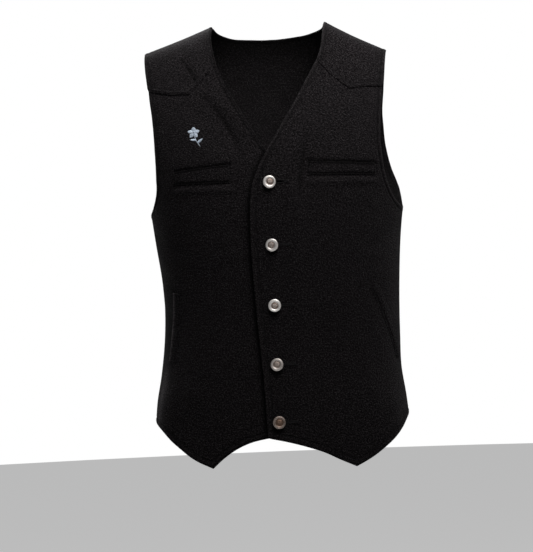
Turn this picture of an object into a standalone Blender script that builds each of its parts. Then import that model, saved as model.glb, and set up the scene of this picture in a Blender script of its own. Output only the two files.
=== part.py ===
"""A western vest in heavy wool, in the shape that it has when worn and buttoned.

Metres, +Z up. The front faces -Y and the wearer's left is +X. The origin is midway between the
two points where the shoulder seams meet the neckline. Angles go round the body from the centre
front: 90 is the wearer's left side seam, 180 the centre back, and negative angles are the
wearer's right. Drops are millimetres down from the shoulder line.
"""

import math

import bmesh
import bpy
import numpy as np
from mathutils import Vector

MM = 0.001

# Cloth, in millimetres
PANEL = 2.4  # wall of the fronts and the back: wool with its turned edges
YOKE = 1.6  # wall of the shoulder yokes
WELT = 1.6  # wall of the pocket welts
SEAM = 0.4  # open gap between two panels at a shoulder or side seam
LIFT = 0.5  # gap under a yoke or welt
LAP = 0.6  # gap between the two fronts where they lap

# The worn form: drop, depth in front, depth behind, half width left, half width right
FORM = [
    (0.0, 0.0, 0.0, 232.0, 240.0),
    (3.5, 19.5, 20.0, 231.5, 239.0),
    (13.5, 36.5, 38.0, 230.5, 238.0),
    (28.0, 50.0, 53.0, 229.0, 236.0),
    (49.0, 63.0, 68.0, 226.0, 232.0),
    (81.0, 76.5, 82.0, 221.5, 226.0),
    (120.0, 90.0, 93.0, 215.0, 217.0),
    (168.0, 102.0, 101.0, 208.5, 207.0),
    (217.0, 109.5, 104.0, 202.5, 198.5),
    (270.0, 111.0, 104.0, 194.5, 190.0),
    (330.0, 108.0, 101.0, 187.0, 182.5),
    (390.0, 104.0, 96.0, 182.8, 174.8),
    (430.0, 102.0, 93.5, 181.1, 172.8),
    (480.0, 100.5, 92.5, 180.2, 175.3),
    (530.0, 101.0, 94.5, 180.4, 182.0),
    (575.0, 102.5, 98.5, 186.2, 190.5),
    (620.0, 104.5, 103.0, 190.0, 194.0),
    (690.0, 107.5, 108.0, 193.0, 197.5),
]
SQUARENESS = 2.35  # 2 is an ellipse seen from above, more is squarer

# The shoulder line: distance out from the centre, drop on the left, drop on the right
SHOULDER = [
    (0.0, -12.0, -12.0),
    (30.0, -10.5, -10.0),
    (60.0, -4.5, -3.5),
    (84.0, 5.0, 4.5),
    (104.0, 16.0, 12.0),
    (124.0, 27.0, 19.5),
    (150.0, 40.0, 28.5),
    (180.0, 54.0, 38.5),
    (200.0, 63.5, 45.5),
    (240.0, 82.0, 60.5),
]
SLOPE_ENDS = 260.0  # drop at which the slope of the shoulders has died out

# Soft folds of the hanging cloth: angle and drop at the start, angle and drop at the end,
# width, height (a trough is negative)
FOLDS = [
    (-33.0, 112.0, -13.0, 205.0, 17.0, -2.2),
    (17.0, 205.0, 13.0, 262.0, 13.0, -1.6),
    (-66.0, 545.0, -60.0, 650.0, 26.0, 2.6),
    (-44.0, 560.0, -40.0, 660.0, 24.0, -2.0),
    (64.0, 560.0, 60.0, 650.0, 26.0, 2.4),
    (128.0, 330.0, 134.0, 590.0, 30.0, -3.0),
    (-128.0, 340.0, -136.0, 590.0, 30.0, -3.0),
]

# Panel edges: angle, drop. Each is one run of the outline from corner to corner.
LEFT_TIP = 49.8
RIGHT_TIP = -52.3
LEFT_NECK = [(21.2, 0.0), (21.2, 16.0), (21.0, 35.8), (20.3, 52.0), (19.3, 66.0)]
LEFT_ARMHOLE_TOP = [(LEFT_TIP, 0.0), (49.5, 23.8), (49.8, 67.8)]
LEFT_YOKE_IN = [(19.3, 66.0), (22.0, 74.0), (25.0, 81.8), (28.9, 87.6), (33.5, 94.5)]
LEFT_YOKE_OUT = [(33.5, 94.5), (37.0, 87.5), (44.3, 75.5), (49.8, 67.8)]
LEFT_FRONT_EDGE = [
    (19.3, 66.0),
    (16.1, 93.4),
    (11.2, 131.1),
    (7.1, 156.6),
    (2.8, 182.0),
    (-0.6, 201.5),
    (-2.6, 213.0),
    (-5.2, 230.0),
    (-7.6, 250.6),
    (-8.9, 273.0),
    (-9.6, 309.0),
    (-9.9, 345.0),
    (-9.8, 382.0),
    (-9.1, 437.0),
    (-7.7, 494.0),
    (-6.3, 545.0),
    (-5.6, 585.0),
    (-5.1, 625.0),
]
LEFT_ARMHOLE = [
    (49.8, 67.8),
    (51.0, 124.3),
    (52.7, 179.8),
    (55.4, 216.1),
    (60.2, 248.9),
    (70.8, 277.5),
    (80.0, 286.0),
    (90.0, 289.0),
]
LEFT_SIDE = [(90.0, 289.0), (90.0, 602.0)]
LEFT_HEM_IN = [(-5.1, 625.0), (3.3, 631.3), (12.1, 639.7), (19.9, 648.9), (27.5, 660.8), (35.3, 671.5)]
LEFT_HEM_OUT = [(35.3, 671.5), (45.7, 657.8), (56.6, 641.2), (69.9, 620.2), (80.0, 607.5), (90.0, 602.0)]

RIGHT_NECK = [(-20.6, 0.0), (-20.8, 12.0), (-20.7, 23.3), (-20.3, 42.0), (-19.3, 65.3)]
RIGHT_ARMHOLE_TOP = [(RIGHT_TIP, 0.0), (-52.1, 18.3), (-52.4, 68.5)]
RIGHT_YOKE_IN = [(-19.3, 65.3), (-22.7, 76.0), (-25.8, 83.3), (-28.6, 90.5), (-31.8, 99.5)]
RIGHT_YOKE_OUT = [(-31.8, 99.5), (-35.6, 95.0), (-39.6, 91.0), (-46.0, 80.5), (-52.4, 68.5)]
RIGHT_FRONT_EDGE = [
    (-19.3, 65.3),
    (-16.4, 100.3),
    (-12.0, 134.5),
    (-7.4, 165.4),
    (-3.5, 188.3),
    (-0.7, 202.5),
    (1.8, 216.0),
    (5.4, 236.0),
    (8.4, 262.0),
    (9.6, 300.0),
    (9.8, 380.0),
    (9.6, 470.0),
    (9.2, 560.0),
    (9.0, 621.0),
]
RIGHT_ARMHOLE = [
    (-52.4, 68.5),
    (-54.7, 128.8),
    (-57.9, 181.4),
    (-61.1, 224.5),
    (-65.5, 258.0),
    (-74.0, 277.0),
    (-82.0, 283.5),
    (-90.0, 286.0),
]
RIGHT_SIDE = [(-90.0, 286.0), (-90.0, 602.0)]
RIGHT_HEM_IN = [(9.0, 621.0), (-4.9, 625.2), (-13.2, 631.3), (-20.1, 641.5), (-25.6, 653.5), (-31.0, 668.0)]
RIGHT_HEM_OUT = [(-31.0, 668.0), (-42.5, 653.6), (-54.8, 632.3), (-68.1, 611.6), (-80.0, 604.0), (-90.0, 602.0)]

BACK_NECK = [
    (158.8, 0.0),
    (160.0, 6.0),
    (165.0, 18.5),
    (172.0, 27.0),
    (180.0, 30.0),
    (188.0, 27.0),
    (195.0, 18.5),
    (199.5, 6.0),
    (200.6, 0.0),
]
BACK_LEFT_ARMHOLE = [
    (180.0 - LEFT_TIP, 0.0),
    (130.6, 30.0),
    (129.8, 80.0),
    (127.8, 130.0),
    (124.5, 178.0),
    (118.0, 222.0),
    (106.0, 258.0),
    (97.0, 280.0),
    (90.0, 289.0),
]
BACK_RIGHT_ARMHOLE = [
    (180.0 - RIGHT_TIP, 0.0),
    (232.0, 30.0),
    (231.8, 80.0),
    (233.4, 130.0),
    (237.0, 178.0),
    (243.5, 222.0),
    (255.0, 256.0),
    (264.0, 278.0),
    (270.0, 286.0),
]
BACK_HEM = [(90.0, 602.0), (120.0, 607.0), (180.0, 612.0), (240.0, 607.0), (270.0, 602.0)]

# Grid cells: across each half of a front, down a yoke, down an armhole, down a side seam
HALF = 8
YOKE_ROWS = 8
ARMHOLE_ROWS = 12
SIDE_ROWS = 16

# Pocket welts: angle and drop at the inner top, inner bottom, outer top and outer bottom corner
CHEST_WELT_LEFT = [(16.8, 219.5), (16.8, 239.5), (49.6, 221.0), (50.8, 240.8)]
CHEST_WELT_RIGHT = [(-17.3, 219.0), (-17.5, 246.5), (-45.7, 223.5), (-46.5, 245.0)]
SIDE_WELT_LEFT = [(50.0, 408.0), (74.0, 514.0), (57.0, 404.5), (80.5, 511.0)]
SIDE_WELT_RIGHT = [(-53.5, 408.0), (-58.5, 511.0), (-60.5, 404.5), (-65.5, 508.0)]

# Buttons: drop of each, down the centre front
BUTTON_DROPS = [247.0, 339.3, 428.7, 516.6, 602.0]
BUTTON_STEPS = 24
BUTTON_PROFILE = [  # radius, height above the back of the head, top to bottom down the outside
    (0.0, 3.3),
    (2.3, 3.1),
    (3.8, 2.6),
    (4.75, 2.1),
    (5.3, 2.6),
    (6.3, 3.4),
    (7.4, 3.7),
    (8.55, 3.2),
    (9.3, 2.3),
    (9.5, 1.4),
    (9.1, 0.5),
    (8.2, 0.0),
    (1.0, 0.0),
    (1.0, -3.1),
    (0.0, -3.1),
]
BUTTON_LIFT = 0.4  # gap between the head and the cloth
HOLE_IN = -2.5  # buttonhole's end near the front edge, from the centre line
HOLE_OUT = 26.0
HOLE_WIDTH = 2.8


def smooth(x, y, q):
    """Values at q of the smooth curve through the rows (x, y)."""
    x, y, q = np.asarray(x, float), np.asarray(y, float), np.clip(q, x[0], x[-1])
    slope = np.gradient(y, x, axis=0)
    i = np.clip(np.searchsorted(x, q, side="right") - 1, 0, len(x) - 2)
    span = x[i + 1] - x[i]
    s = (q - x[i]) / span
    a, b = 2 * s**3 - 3 * s**2 + 1, (s**3 - 2 * s**2 + s) * span
    c, d = 3 * s**2 - 2 * s**3, (s**3 - s**2) * span
    if y.ndim > 1:
        a, b, c, d = (k[..., None] for k in (a, b, c, d))
    return a * y[i] + b * slope[i] + c * y[i + 1] + d * slope[i + 1]


# A level is the distance down the front of the form from the shoulder line. The second row is
# mirrored before the first, so that the form is round over the shoulder.
ROWS = np.array(FORM)
MIRRORED = np.vstack([ROWS[1] * (1, -1, -1, 1, 1), ROWS])
LEVELS = np.cumsum(np.hypot(*np.diff(MIRRORED[:, :2], axis=0, prepend=MIRRORED[:1, :2]).T))
LEVELS = LEVELS - LEVELS[1]
LONGEST = LEVELS[-1]
LOOKUP = np.linspace(0, LONGEST, 4000)
DROPS = smooth(LEVELS, MIRRORED[:, 0], LOOKUP)


def level_of(drop):
    return np.interp(drop, DROPS, LOOKUP)


def body(angle, level):
    """Inner face of the cloth, without its folds: a squared ellipse round the body at each
    level, which tips down along the shoulder line near the top."""
    drop, front, back, left, right = np.moveaxis(smooth(LEVELS, MIRRORED, level), -1, 0)
    sine, cosine = np.sin(angle), np.cos(angle)
    x = sine * np.where(sine > 0, left, right)
    deep = np.maximum(1 - np.abs(sine) ** SQUARENESS, 0) ** (1 / SQUARENESS)
    y = np.where(cosine > 0, -front, back) * deep
    line = np.array(SHOULDER)
    tips = smooth(line[:, 0], line[:, 1:], np.abs(x))
    fade = np.clip(1 - drop / SLOPE_ENDS, 0, 1)
    fade = fade * fade * (3 - 2 * fade)
    z = -drop - fade * np.where(x > 0, tips[..., 0], tips[..., 1])
    return np.stack([x, y, z], -1)


def fold_height(angle, drop):
    """Sum of the soft folds: each is a bell across its line, and dies out at both ends."""
    total = np.zeros_like(angle)
    for a0, d0, a1, d1, width, height in FOLDS:
        across = 2.6  # millimetres round the body to one degree
        u = (np.degrees(angle) - a0 + 360 * ((np.degrees(angle) - a0 < -180) * 1.0)) * across
        u = np.where(u > 180 * across, u - 360 * across, u)
        v = drop - d0
        run = np.array([(a1 - a0) * across, d1 - d0])
        length = np.hypot(*run)
        run = run / length
        along = (u * run[0] + v * run[1]) / length
        off = u * run[1] - v * run[0]
        ends = np.clip(1 - (2 * along - 1) ** 2, 0, 1)
        total += height * ends**0.8 * np.exp(-((off / width) ** 2))
    return total


def cloth_point(angle, level, out=0.0):
    """A point of the inner face with its folds, moved outwards by out millimetres."""
    angle, level = np.broadcast_arrays(np.asarray(angle, float), np.asarray(level, float))
    near = np.clip(level, 0.02, LONGEST - 0.02)
    turn = body(angle + 1e-4, near) - body(angle - 1e-4, near)
    down = body(angle, near + 0.02) - body(angle, near - 0.02)
    normal = np.cross(down, turn)
    normal /= np.linalg.norm(normal, axis=-1, keepdims=True)
    drop = np.interp(level, LOOKUP, DROPS)
    rise = fold_height(angle, drop) + out
    return body(angle, level) + normal * rise[..., None]


def run(rows, cells):
    """One run of an outline as cells + 1 points (angle, level), evenly spaced on the cloth."""
    rows = np.array(rows, float)
    points = np.stack([np.radians(rows[:, 0]), level_of(rows[:, 1])], -1)
    chords = np.linalg.norm(np.diff(body(*points.T), axis=0), axis=-1)
    s = np.concatenate([[0], np.cumsum(chords)])
    fine = smooth(s, points, np.linspace(0, s[-1], 500))
    fine[:, 1] = np.clip(fine[:, 1], 0, LONGEST)
    steps = np.linalg.norm(np.diff(body(*fine.T), axis=0), axis=-1)
    s = np.concatenate([[0], np.cumsum(steps)])
    even = np.linspace(0, s[-1], cells + 1)
    return np.stack([np.interp(even, s, fine[:, k]) for k in (0, 1)], -1)


def edge(*runs):
    """Joins runs (rows, cells) end to end into one edge of a patch."""
    parts = [run(rows, cells) for rows, cells in runs]
    return np.vstack([parts[0]] + [p[1:] for p in parts[1:]])


def patch(top, bottom, start, end):
    """Fills four edges with a grid (row, column, angle and level): each inner line is a blend
    of the two edges beside it."""
    u = np.linspace(0, 1, len(top))[None, :, None]
    v = np.linspace(0, 1, len(start))[:, None, None]
    corners = (
        (1 - v) * ((1 - u) * top[0] + u * top[-1]) + v * ((1 - u) * bottom[0] + u * bottom[-1])
    )
    sides = (1 - u) * start[:, None] + u * end[:, None]
    return (1 - v) * top + v * bottom + sides - corners


def material(name, colour, roughness, metallic=0.0):
    made = bpy.data.materials.new(name)
    made.use_nodes = True
    made.diffuse_color = (*colour, 1.0)
    shader = made.node_tree.nodes["Principled BSDF"]
    shader.inputs["Base Color"].default_value = (*colour, 1.0)
    shader.inputs["Roughness"].default_value = roughness
    shader.inputs["Metallic"].default_value = metallic
    return made


def cloth(name, grid, wall, colour, under=None):
    """A cloth piece: a flat grid laid on the points given in millimetres, then thickened
    outwards. Each cell is cut along its shorter diagonal. A piece that lies on a panel passes
    the panel's own points as under, and is cut along the same diagonals."""
    rows, columns = grid.shape[0] - 1, grid.shape[1] - 1
    under = grid if under is None else under
    bm = bmesh.new()
    bmesh.ops.create_grid(bm, x_segments=columns, y_segments=rows, size=0.5)
    place = {
        vert: (round((0.5 - vert.co.y) * rows), round((vert.co.x + 0.5) * columns))
        for vert in bm.verts
    }
    for face in bm.faces[:]:
        a, b, c, d = face.verts
        first = np.linalg.norm(under[place[a]] - under[place[c]])
        second = np.linalg.norm(under[place[b]] - under[place[d]])
        bmesh.utils.face_split(face, *((a, c) if first <= second else (b, d)))
    for vert, cell in place.items():
        vert.co = grid[cell] * MM
    bm.normal_update()
    middle = Vector(grid[rows // 2, columns // 2]) * MM
    nearest = min(bm.faces, key=lambda face: (face.calc_center_median() - middle).length)
    if nearest.normal.dot(Vector((middle.x, middle.y, 0.0))) < 0:
        bmesh.ops.reverse_faces(bm, faces=bm.faces[:])
    mesh = bpy.data.meshes.new(name)
    bm.to_mesh(mesh)
    bm.free()
    made = bpy.data.objects.new(name, mesh)
    parts.objects.link(made)
    mesh.materials.append(material(name, colour, 0.95))
    mesh.shade_smooth()
    thick = made.modifiers.new("wall", "SOLIDIFY")
    thick.thickness = wall * MM
    thick.offset = 1.0
    thick.use_even_offset = True
    return made


def welt(name, corners, colour, across, down):
    """A welt: four corners on the panel, filled straight, lying on the panel's outer face."""
    a, b, c, d = [(math.radians(angle), float(level_of(drop))) for angle, drop in corners]
    u = np.linspace(0, 1, across + 1)[None, :, None]
    v = np.linspace(0, 1, down + 1)[:, None, None]
    a, b, c, d = (np.array(p) for p in (a, b, c, d))
    points = (1 - u) * ((1 - v) * a + v * b) + u * ((1 - v) * c + v * d)
    grid = cloth_point(points[..., 0], points[..., 1], PANEL + LIFT)
    return cloth(name, seamed(grid, -1), WELT, colour)


def seamed(grid, side):
    """Moves a piece off the plane of the shoulder and side seams by half a seam gap."""
    return grid + np.array([0.0, side * SEAM / 2, 0.0])


def lap(x):
    """How far the left front stands out to clear the right front beneath it."""
    s = np.clip((x - 34.0) / 26.0, 0, 1)
    return (PANEL + LAP) * (1 - s * s * (3 - 2 * s))


for old in list(bpy.data.objects):
    bpy.data.objects.remove(old)
parts = bpy.data.collections.new("western_vest")
cutters = bpy.data.collections.new("cutters")
bpy.context.scene.collection.children.link(parts)
bpy.context.scene.collection.children.link(cutters)

CHARCOAL = (0.017, 0.016, 0.018)
NICKEL = (0.30, 0.27, 0.23)

# The two fronts, each from its shoulder to its hem, and the yokes on their top rows
SIDES = {
    "left": (
        LEFT_NECK, LEFT_ARMHOLE_TOP, LEFT_YOKE_IN, LEFT_YOKE_OUT, LEFT_FRONT_EDGE,
        LEFT_ARMHOLE, LEFT_SIDE, LEFT_HEM_IN, LEFT_HEM_OUT,
    ),
    "right": (
        RIGHT_NECK, RIGHT_ARMHOLE_TOP, RIGHT_YOKE_IN, RIGHT_YOKE_OUT, RIGHT_FRONT_EDGE,
        RIGHT_ARMHOLE, RIGHT_SIDE, RIGHT_HEM_IN, RIGHT_HEM_OUT,
    ),
}
for side, runs in SIDES.items():
    neck, arm_top, yoke_in, yoke_out, front_edge, armhole, side_seam, hem_in, hem_out = runs
    shoulder = [neck[0], arm_top[0]]
    yoke_line = edge((yoke_in, HALF), (yoke_out, HALF))
    upper = patch(
        edge((shoulder, 2 * HALF)), yoke_line, edge((neck, YOKE_ROWS)), edge((arm_top, YOKE_ROWS))
    )
    lower = patch(
        yoke_line,
        edge((hem_in, HALF), (hem_out, HALF)),
        edge((front_edge, ARMHOLE_ROWS + SIDE_ROWS)),
        edge((armhole, ARMHOLE_ROWS), (side_seam, SIDE_ROWS)),
    )
    grid = np.vstack([upper, lower[1:]])
    angle, level = grid[..., 0], grid[..., 1]
    out = lap(body(angle, level)[..., 0]) * (1.0 if side == "left" else 0.0)
    # the lap dies out above the crossing of the two necklines
    out = out * np.clip((level - level_of(120.0)) / 70.0, 0, 1)
    front = seamed(cloth_point(angle, level, out), -1)
    cloth("front_" + side, front, PANEL, CHARCOAL)
    rows = slice(0, YOKE_ROWS + 1)
    above = seamed(cloth_point(angle[rows], level[rows], out[rows] + PANEL + LIFT), -1)
    cloth("yoke_" + side, above, YOKE, CHARCOAL, front[rows])

# The back, in one piece from shoulder to hem
back = patch(
    edge(
        ([(180.0 - LEFT_TIP, 0.0), (158.8, 0.0)], 6),
        (BACK_NECK, 8),
        ([(200.6, 0.0), (180.0 - RIGHT_TIP, 0.0)], 6),
    ),
    edge((BACK_HEM, 20)),
    edge((BACK_LEFT_ARMHOLE, 14), (LEFT_SIDE, SIDE_ROWS)),
    edge((BACK_RIGHT_ARMHOLE, 14), ([(270.0, 286.0), (270.0, 602.0)], SIDE_ROWS)),
)
cloth("back", seamed(cloth_point(back[..., 0], back[..., 1]), 1), PANEL, CHARCOAL)

# Pocket welts
welt("chest_welt_left", CHEST_WELT_LEFT, CHARCOAL, 10, 2)
welt("chest_welt_right", CHEST_WELT_RIGHT, CHARCOAL, 10, 2)
welt("side_welt_left", SIDE_WELT_LEFT, CHARCOAL, 3, 10)
welt("side_welt_right", SIDE_WELT_RIGHT, CHARCOAL, 3, 10)

# Buttons, each a head with its shank, and the buttonholes that the shanks go through
profile = bpy.data.meshes.new("button_profile")
profile.from_pydata(
    [(r * MM, 0.0, h * MM) for r, h in BUTTON_PROFILE],
    [(i, i + 1) for i in range(len(BUTTON_PROFILE) - 1)],
    [],
)
profile.materials.append(material("button_metal", NICKEL, 0.35, 1.0))
panel = parts.objects["front_left"]
for number, drop in enumerate(BUTTON_DROPS, start=1):
    level = float(level_of(drop))
    seat = seamed(cloth_point(0.0, level, PANEL + LAP), -1)
    outer = seamed(cloth_point(0.0, level, PANEL + LAP + 1.0), -1)
    facing = Vector(outer - seat).to_track_quat("Z", "Y").to_euler()
    button = bpy.data.objects.new(f"button_{number}", profile)
    button.location = Vector((seat + (outer - seat) * (PANEL + BUTTON_LIFT)) * MM)
    button.rotation_euler = facing
    parts.objects.link(button)
    turned = button.modifiers.new("turned", "SCREW")
    turned.axis = "Z"
    turned.steps = turned.render_steps = BUTTON_STEPS
    turned.use_merge_vertices = True
    turned.merge_threshold = 0.0001
    turned.use_smooth_shade = True

    bm = bmesh.new()
    bmesh.ops.create_cube(bm, size=1.0)
    for vert in bm.verts:
        vert.co.x = ((HOLE_IN + HOLE_OUT) / 2 + vert.co.x * (HOLE_OUT - HOLE_IN)) * MM
        vert.co.y = (seat[1] + vert.co.y * 30.0) * MM
        vert.co.z = (seat[2] + vert.co.z * HOLE_WIDTH) * MM
    box = bpy.data.meshes.new(f"buttonhole_{number}")
    bm.to_mesh(box)
    bm.free()
    cutter = bpy.data.objects.new(f"buttonhole_{number}", box)
    cutter.display_type = "WIRE"
    cutter.hide_render = True
    cutters.objects.link(cutter)
    cut = panel.modifiers.new(f"buttonhole_{number}", "BOOLEAN")
    cut.object = cutter
    cut.operation = "DIFFERENCE"
    cut.solver = "EXACT"
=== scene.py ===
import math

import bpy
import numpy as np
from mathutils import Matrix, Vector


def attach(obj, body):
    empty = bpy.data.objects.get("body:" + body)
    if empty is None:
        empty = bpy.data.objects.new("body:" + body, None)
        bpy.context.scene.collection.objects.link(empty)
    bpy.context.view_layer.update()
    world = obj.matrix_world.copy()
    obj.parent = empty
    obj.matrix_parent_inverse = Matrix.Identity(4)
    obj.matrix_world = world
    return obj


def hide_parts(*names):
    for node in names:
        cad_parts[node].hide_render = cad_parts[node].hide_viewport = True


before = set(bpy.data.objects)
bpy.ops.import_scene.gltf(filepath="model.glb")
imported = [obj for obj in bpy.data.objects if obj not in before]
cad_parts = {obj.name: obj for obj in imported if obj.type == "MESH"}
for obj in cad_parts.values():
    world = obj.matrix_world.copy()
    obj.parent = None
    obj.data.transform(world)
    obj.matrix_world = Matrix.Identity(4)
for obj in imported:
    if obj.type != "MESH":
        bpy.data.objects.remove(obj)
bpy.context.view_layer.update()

# The finish of a western vest in heavy charcoal wool. Each cloth piece is a fine closed shell on the
# form of its own solid, with a turned edge, soft creases and topstitching that is drawn in a little.
# Lengths are millimetres until a mesh is made. The front faces -Y and the wearer's left is +X.
# Angles go round the body from the centre front: 90 is the left side seam and 180 the centre back.
# Drops are millimetres down from the shoulder line, and levels the same way along the cloth.

MM = 0.001

# Cloth
PANEL = 2.4  # wall of the fronts and the back
YOKE = 1.6
WELT = 1.6
LIFT = 0.5  # gap under a yoke or welt
LAP = 0.6  # gap between the two fronts where they lap
LAP_FADE = (34.0, 60.0)  # where the upper front comes back to the form, from the centre line
LAP_RISE = (120.0, 70.0)  # drop where the lap starts to stand out, and over how far it does
LAP_CURL, LAP_CURL_WIDE = 1.5, 4.5  # how far the edge of the upper front curls out, half width
UNDER_LAP = (3.3, -4.0, 6.0)  # millimetres to a degree in front; where the sewing ends under the lap
RIM = 1.0  # how far a turned edge rounds off
YOKE_RIM = 0.9
WELT_RIM = 0.7
DRAWN_BAND = 6.0  # how far inside its outline a shell is drawn in for that rounding
HALF_ROUND = (0.25, 0.5, 0.75)  # steps between the two faces round a turned edge
SEAM = 0.06  # gap left between two panels at a shoulder or side seam
SEAM_FADE = 9.0  # how far below the shoulder seam the cloth starts to thin into it
PANEL_THINS = 1.3  # by how much a front thins into that seam
YOKE_THINS, YOKE_SINKS = 0.4, 1.6  # by how much a yoke does, and how far it sinks
HEM_THINS, HEM_SINKS, HEM_WIDE = 0.6, 0.3, 3.2  # the same at a yoke's lower edge, and half width
FOOT_THINS, FOOT_SINKS, FOOT_WIDE = 0.8, 0.85, 3.5  # the same at a welt's foot
# WELT_EDGE_DARK is the half width of the painted shade at a welt's open edge, WELT_EDGE_PALE that of its
# painted highlight, and WELT_LINE that of the painted shade round its foot and ends.
WELT_CURL_WIDE, WELT_EDGE_DARK, WELT_EDGE_PALE = 2.6, 1.6, 2.3  # half widths at a welt's open edge
WELT_LINE = 1.5  # half width of the dark line round a welt's foot and ends
PATTERN_UNIT = 100.0  # millimetres of flat cloth to one unit of the wool's pattern

# The worn form: drop, depth in front, depth behind, half width left, half width right
FORM = [
    (0, 0, 0, 232, 240),
    (3.5, 19.5, 20, 231.5, 239),
    (13.5, 36.5, 38, 230.5, 238),
    (28, 50, 53, 229, 236),
    (49, 63, 68, 226, 232),
    (81, 76.5, 82, 221.5, 226),
    (120, 90, 93, 215, 217),
    (168, 102, 101, 208.5, 207),
    (217, 109.5, 104, 202.5, 198.5),
    (270, 111, 104, 194.5, 190),
    (330, 108, 101, 187, 182.5),
    (390, 104, 96, 182.8, 174.8),
    (430, 102, 93.5, 181.1, 172.8),
    (480, 100.5, 92.5, 180.2, 175.3),
    (530, 101, 94.5, 180.4, 182),
    (575, 102.5, 98.5, 186.2, 190.5),
    (620, 104.5, 103, 190, 194),
    (690, 107.5, 108, 193, 197.5),
]
SQUARENESS = 2.35  # 2 is an ellipse seen from above, more is squarer

# The shoulder line: distance out from the centre, drop on the left, drop on the right
SHOULDER = [
    (0, -12, -12),
    (30, -10.5, -10),
    (60, -4.5, -3.5),
    (84, 5, 4.5),
    (104, 16, 12),
    (124, 27, 19.5),
    (150, 40, 28.5),
    (180, 54, 38.5),
    (200, 63.5, 45.5),
    (240, 82, 60.5),
]
SLOPE_ENDS = 260.0  # drop at which the slope of the shoulders has died out
MM_PER_DEGREE = 2.6  # round the body, for the width and bow of folds and creases

# Large soft folds: angle and drop at the start, angle and drop at the end, width, height, bow
FOLDS = [
    (-33, 112, -13, 205, 17, -2.2, 0),
    (17, 205, 13, 262, 13, -1.6, 0),
    (-66, 545, -60, 650, 26, 2.6, 0),
    (-44, 560, -40, 660, 24, -2, 0),
    (64, 560, 60, 650, 26, 2.4, 0),
    (128, 330, 134, 590, 30, -3, 0),
    (-128, 340, -136, 590, 30, -3, 0),
]

# Smaller creases on top of them, in the same columns; bow is how far the middle swings aside
CREASES = [
    (-33.5, 34, -27, 96, 5, -1.5, 2),
    (-28.5, 96, -10.5, 214, 5, -2, 4),
    (-23, 104, -7.5, 192, 6.5, 0.9, 3),
    (16, 186, 13, 278, 5, -2.4, -3),
    (20.5, 205, 18.5, 300, 8, 0.9, 4),
    (44, 96, 24, 205, 12, -0.7, 8),
    (-82, 300, -42, 352, 10, -1.1, -8),
    (-80, 322, -50, 392, 9, 0.8, -6),
    (80, 306, 44, 352, 10, -1, 7),
    (82, 334, 56, 402, 9, 0.8, 9),
    (-86, 420, -62, 452, 8, -0.9, 5),
    (86, 430, 66, 466, 8, -0.8, -5),
    (-30, 470, -16, 560, 14, 0.6, 6),
    (26, 450, 33, 590, 16, -0.7, -8),
    (44, 500, 50, 640, 12, 0.7, 5),
    (-52, 520, -54, 630, 10, -0.8, 4),
    (-9, 345, -34, 372, 9, 0.45, -5),
    (12, 436, 38, 424, 9, 0.45, 4),
    (126, 70, 158, 176, 17, -4, -10),
    (234, 66, 205, 168, 18, -3.6, 9),
    (98, 300, 138, 356, 14, -3.8, 8),
    (97, 330, 128, 400, 12, 2.8, 6),
    (262, 296, 220, 350, 13, -3.4, -9),
    (264, 332, 230, 404, 12, 2.6, -7),
    (150, 398, 212, 406, 12, -4, 7),
    (142, 424, 196, 440, 12, 2.9, -6),
    (162, 446, 222, 438, 11, -3.3, 5),
    (176, 300, 182, 380, 18, -3, 4),
    (154, 500, 150, 600, 19, 3.2, 6),
    (205, 490, 210, 600, 19, -3.2, -6),
]

# Panel edges: angle, drop. Each is one run of the outline from corner to corner.
LEFT_TIP = 49.8
RIGHT_TIP = -52.3
LEFT = {
    "neck": [(21.2, 0), (21.2, 16), (21, 35.8), (20.3, 52), (19.3, 66)],
    "arm_top": [(LEFT_TIP, 0), (49.5, 23.8), (49.8, 67.8)],
    "yoke_in": [(19.3, 66), (22, 74), (25, 81.8), (28.9, 87.6), (33.5, 94.5)],
    "yoke_out": [(33.5, 94.5), (37, 87.5), (44.3, 75.5), (49.8, 67.8)],
    "front_edge": [
        (19.3, 66), (16.1, 93.4), (11.2, 131.1), (7.1, 156.6), (2.8, 182), (-0.6, 201.5),
        (-2.6, 213), (-5.2, 230), (-7.6, 250.6), (-8.9, 273), (-9.6, 309), (-9.9, 345),
        (-9.8, 382), (-9.1, 437), (-7.7, 494), (-6.3, 545), (-5.6, 585), (-5.1, 625),
    ],
    "armhole": [
        (49.8, 67.8), (51, 124.3), (52.7, 179.8), (55.4, 216.1), (60.2, 248.9), (70.8, 277.5),
        (80, 286), (90, 289),
    ],
    "side": [(90, 289), (90, 602)],
    "hem_in": [(-5.1, 625), (3.3, 631.3), (12.1, 639.7), (19.9, 648.9), (27.5, 660.8), (35.3, 671.5)],
    "hem_out": [(35.3, 671.5), (45.7, 657.8), (56.6, 641.2), (69.9, 620.2), (80, 607.5), (90, 602)],
}
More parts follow.
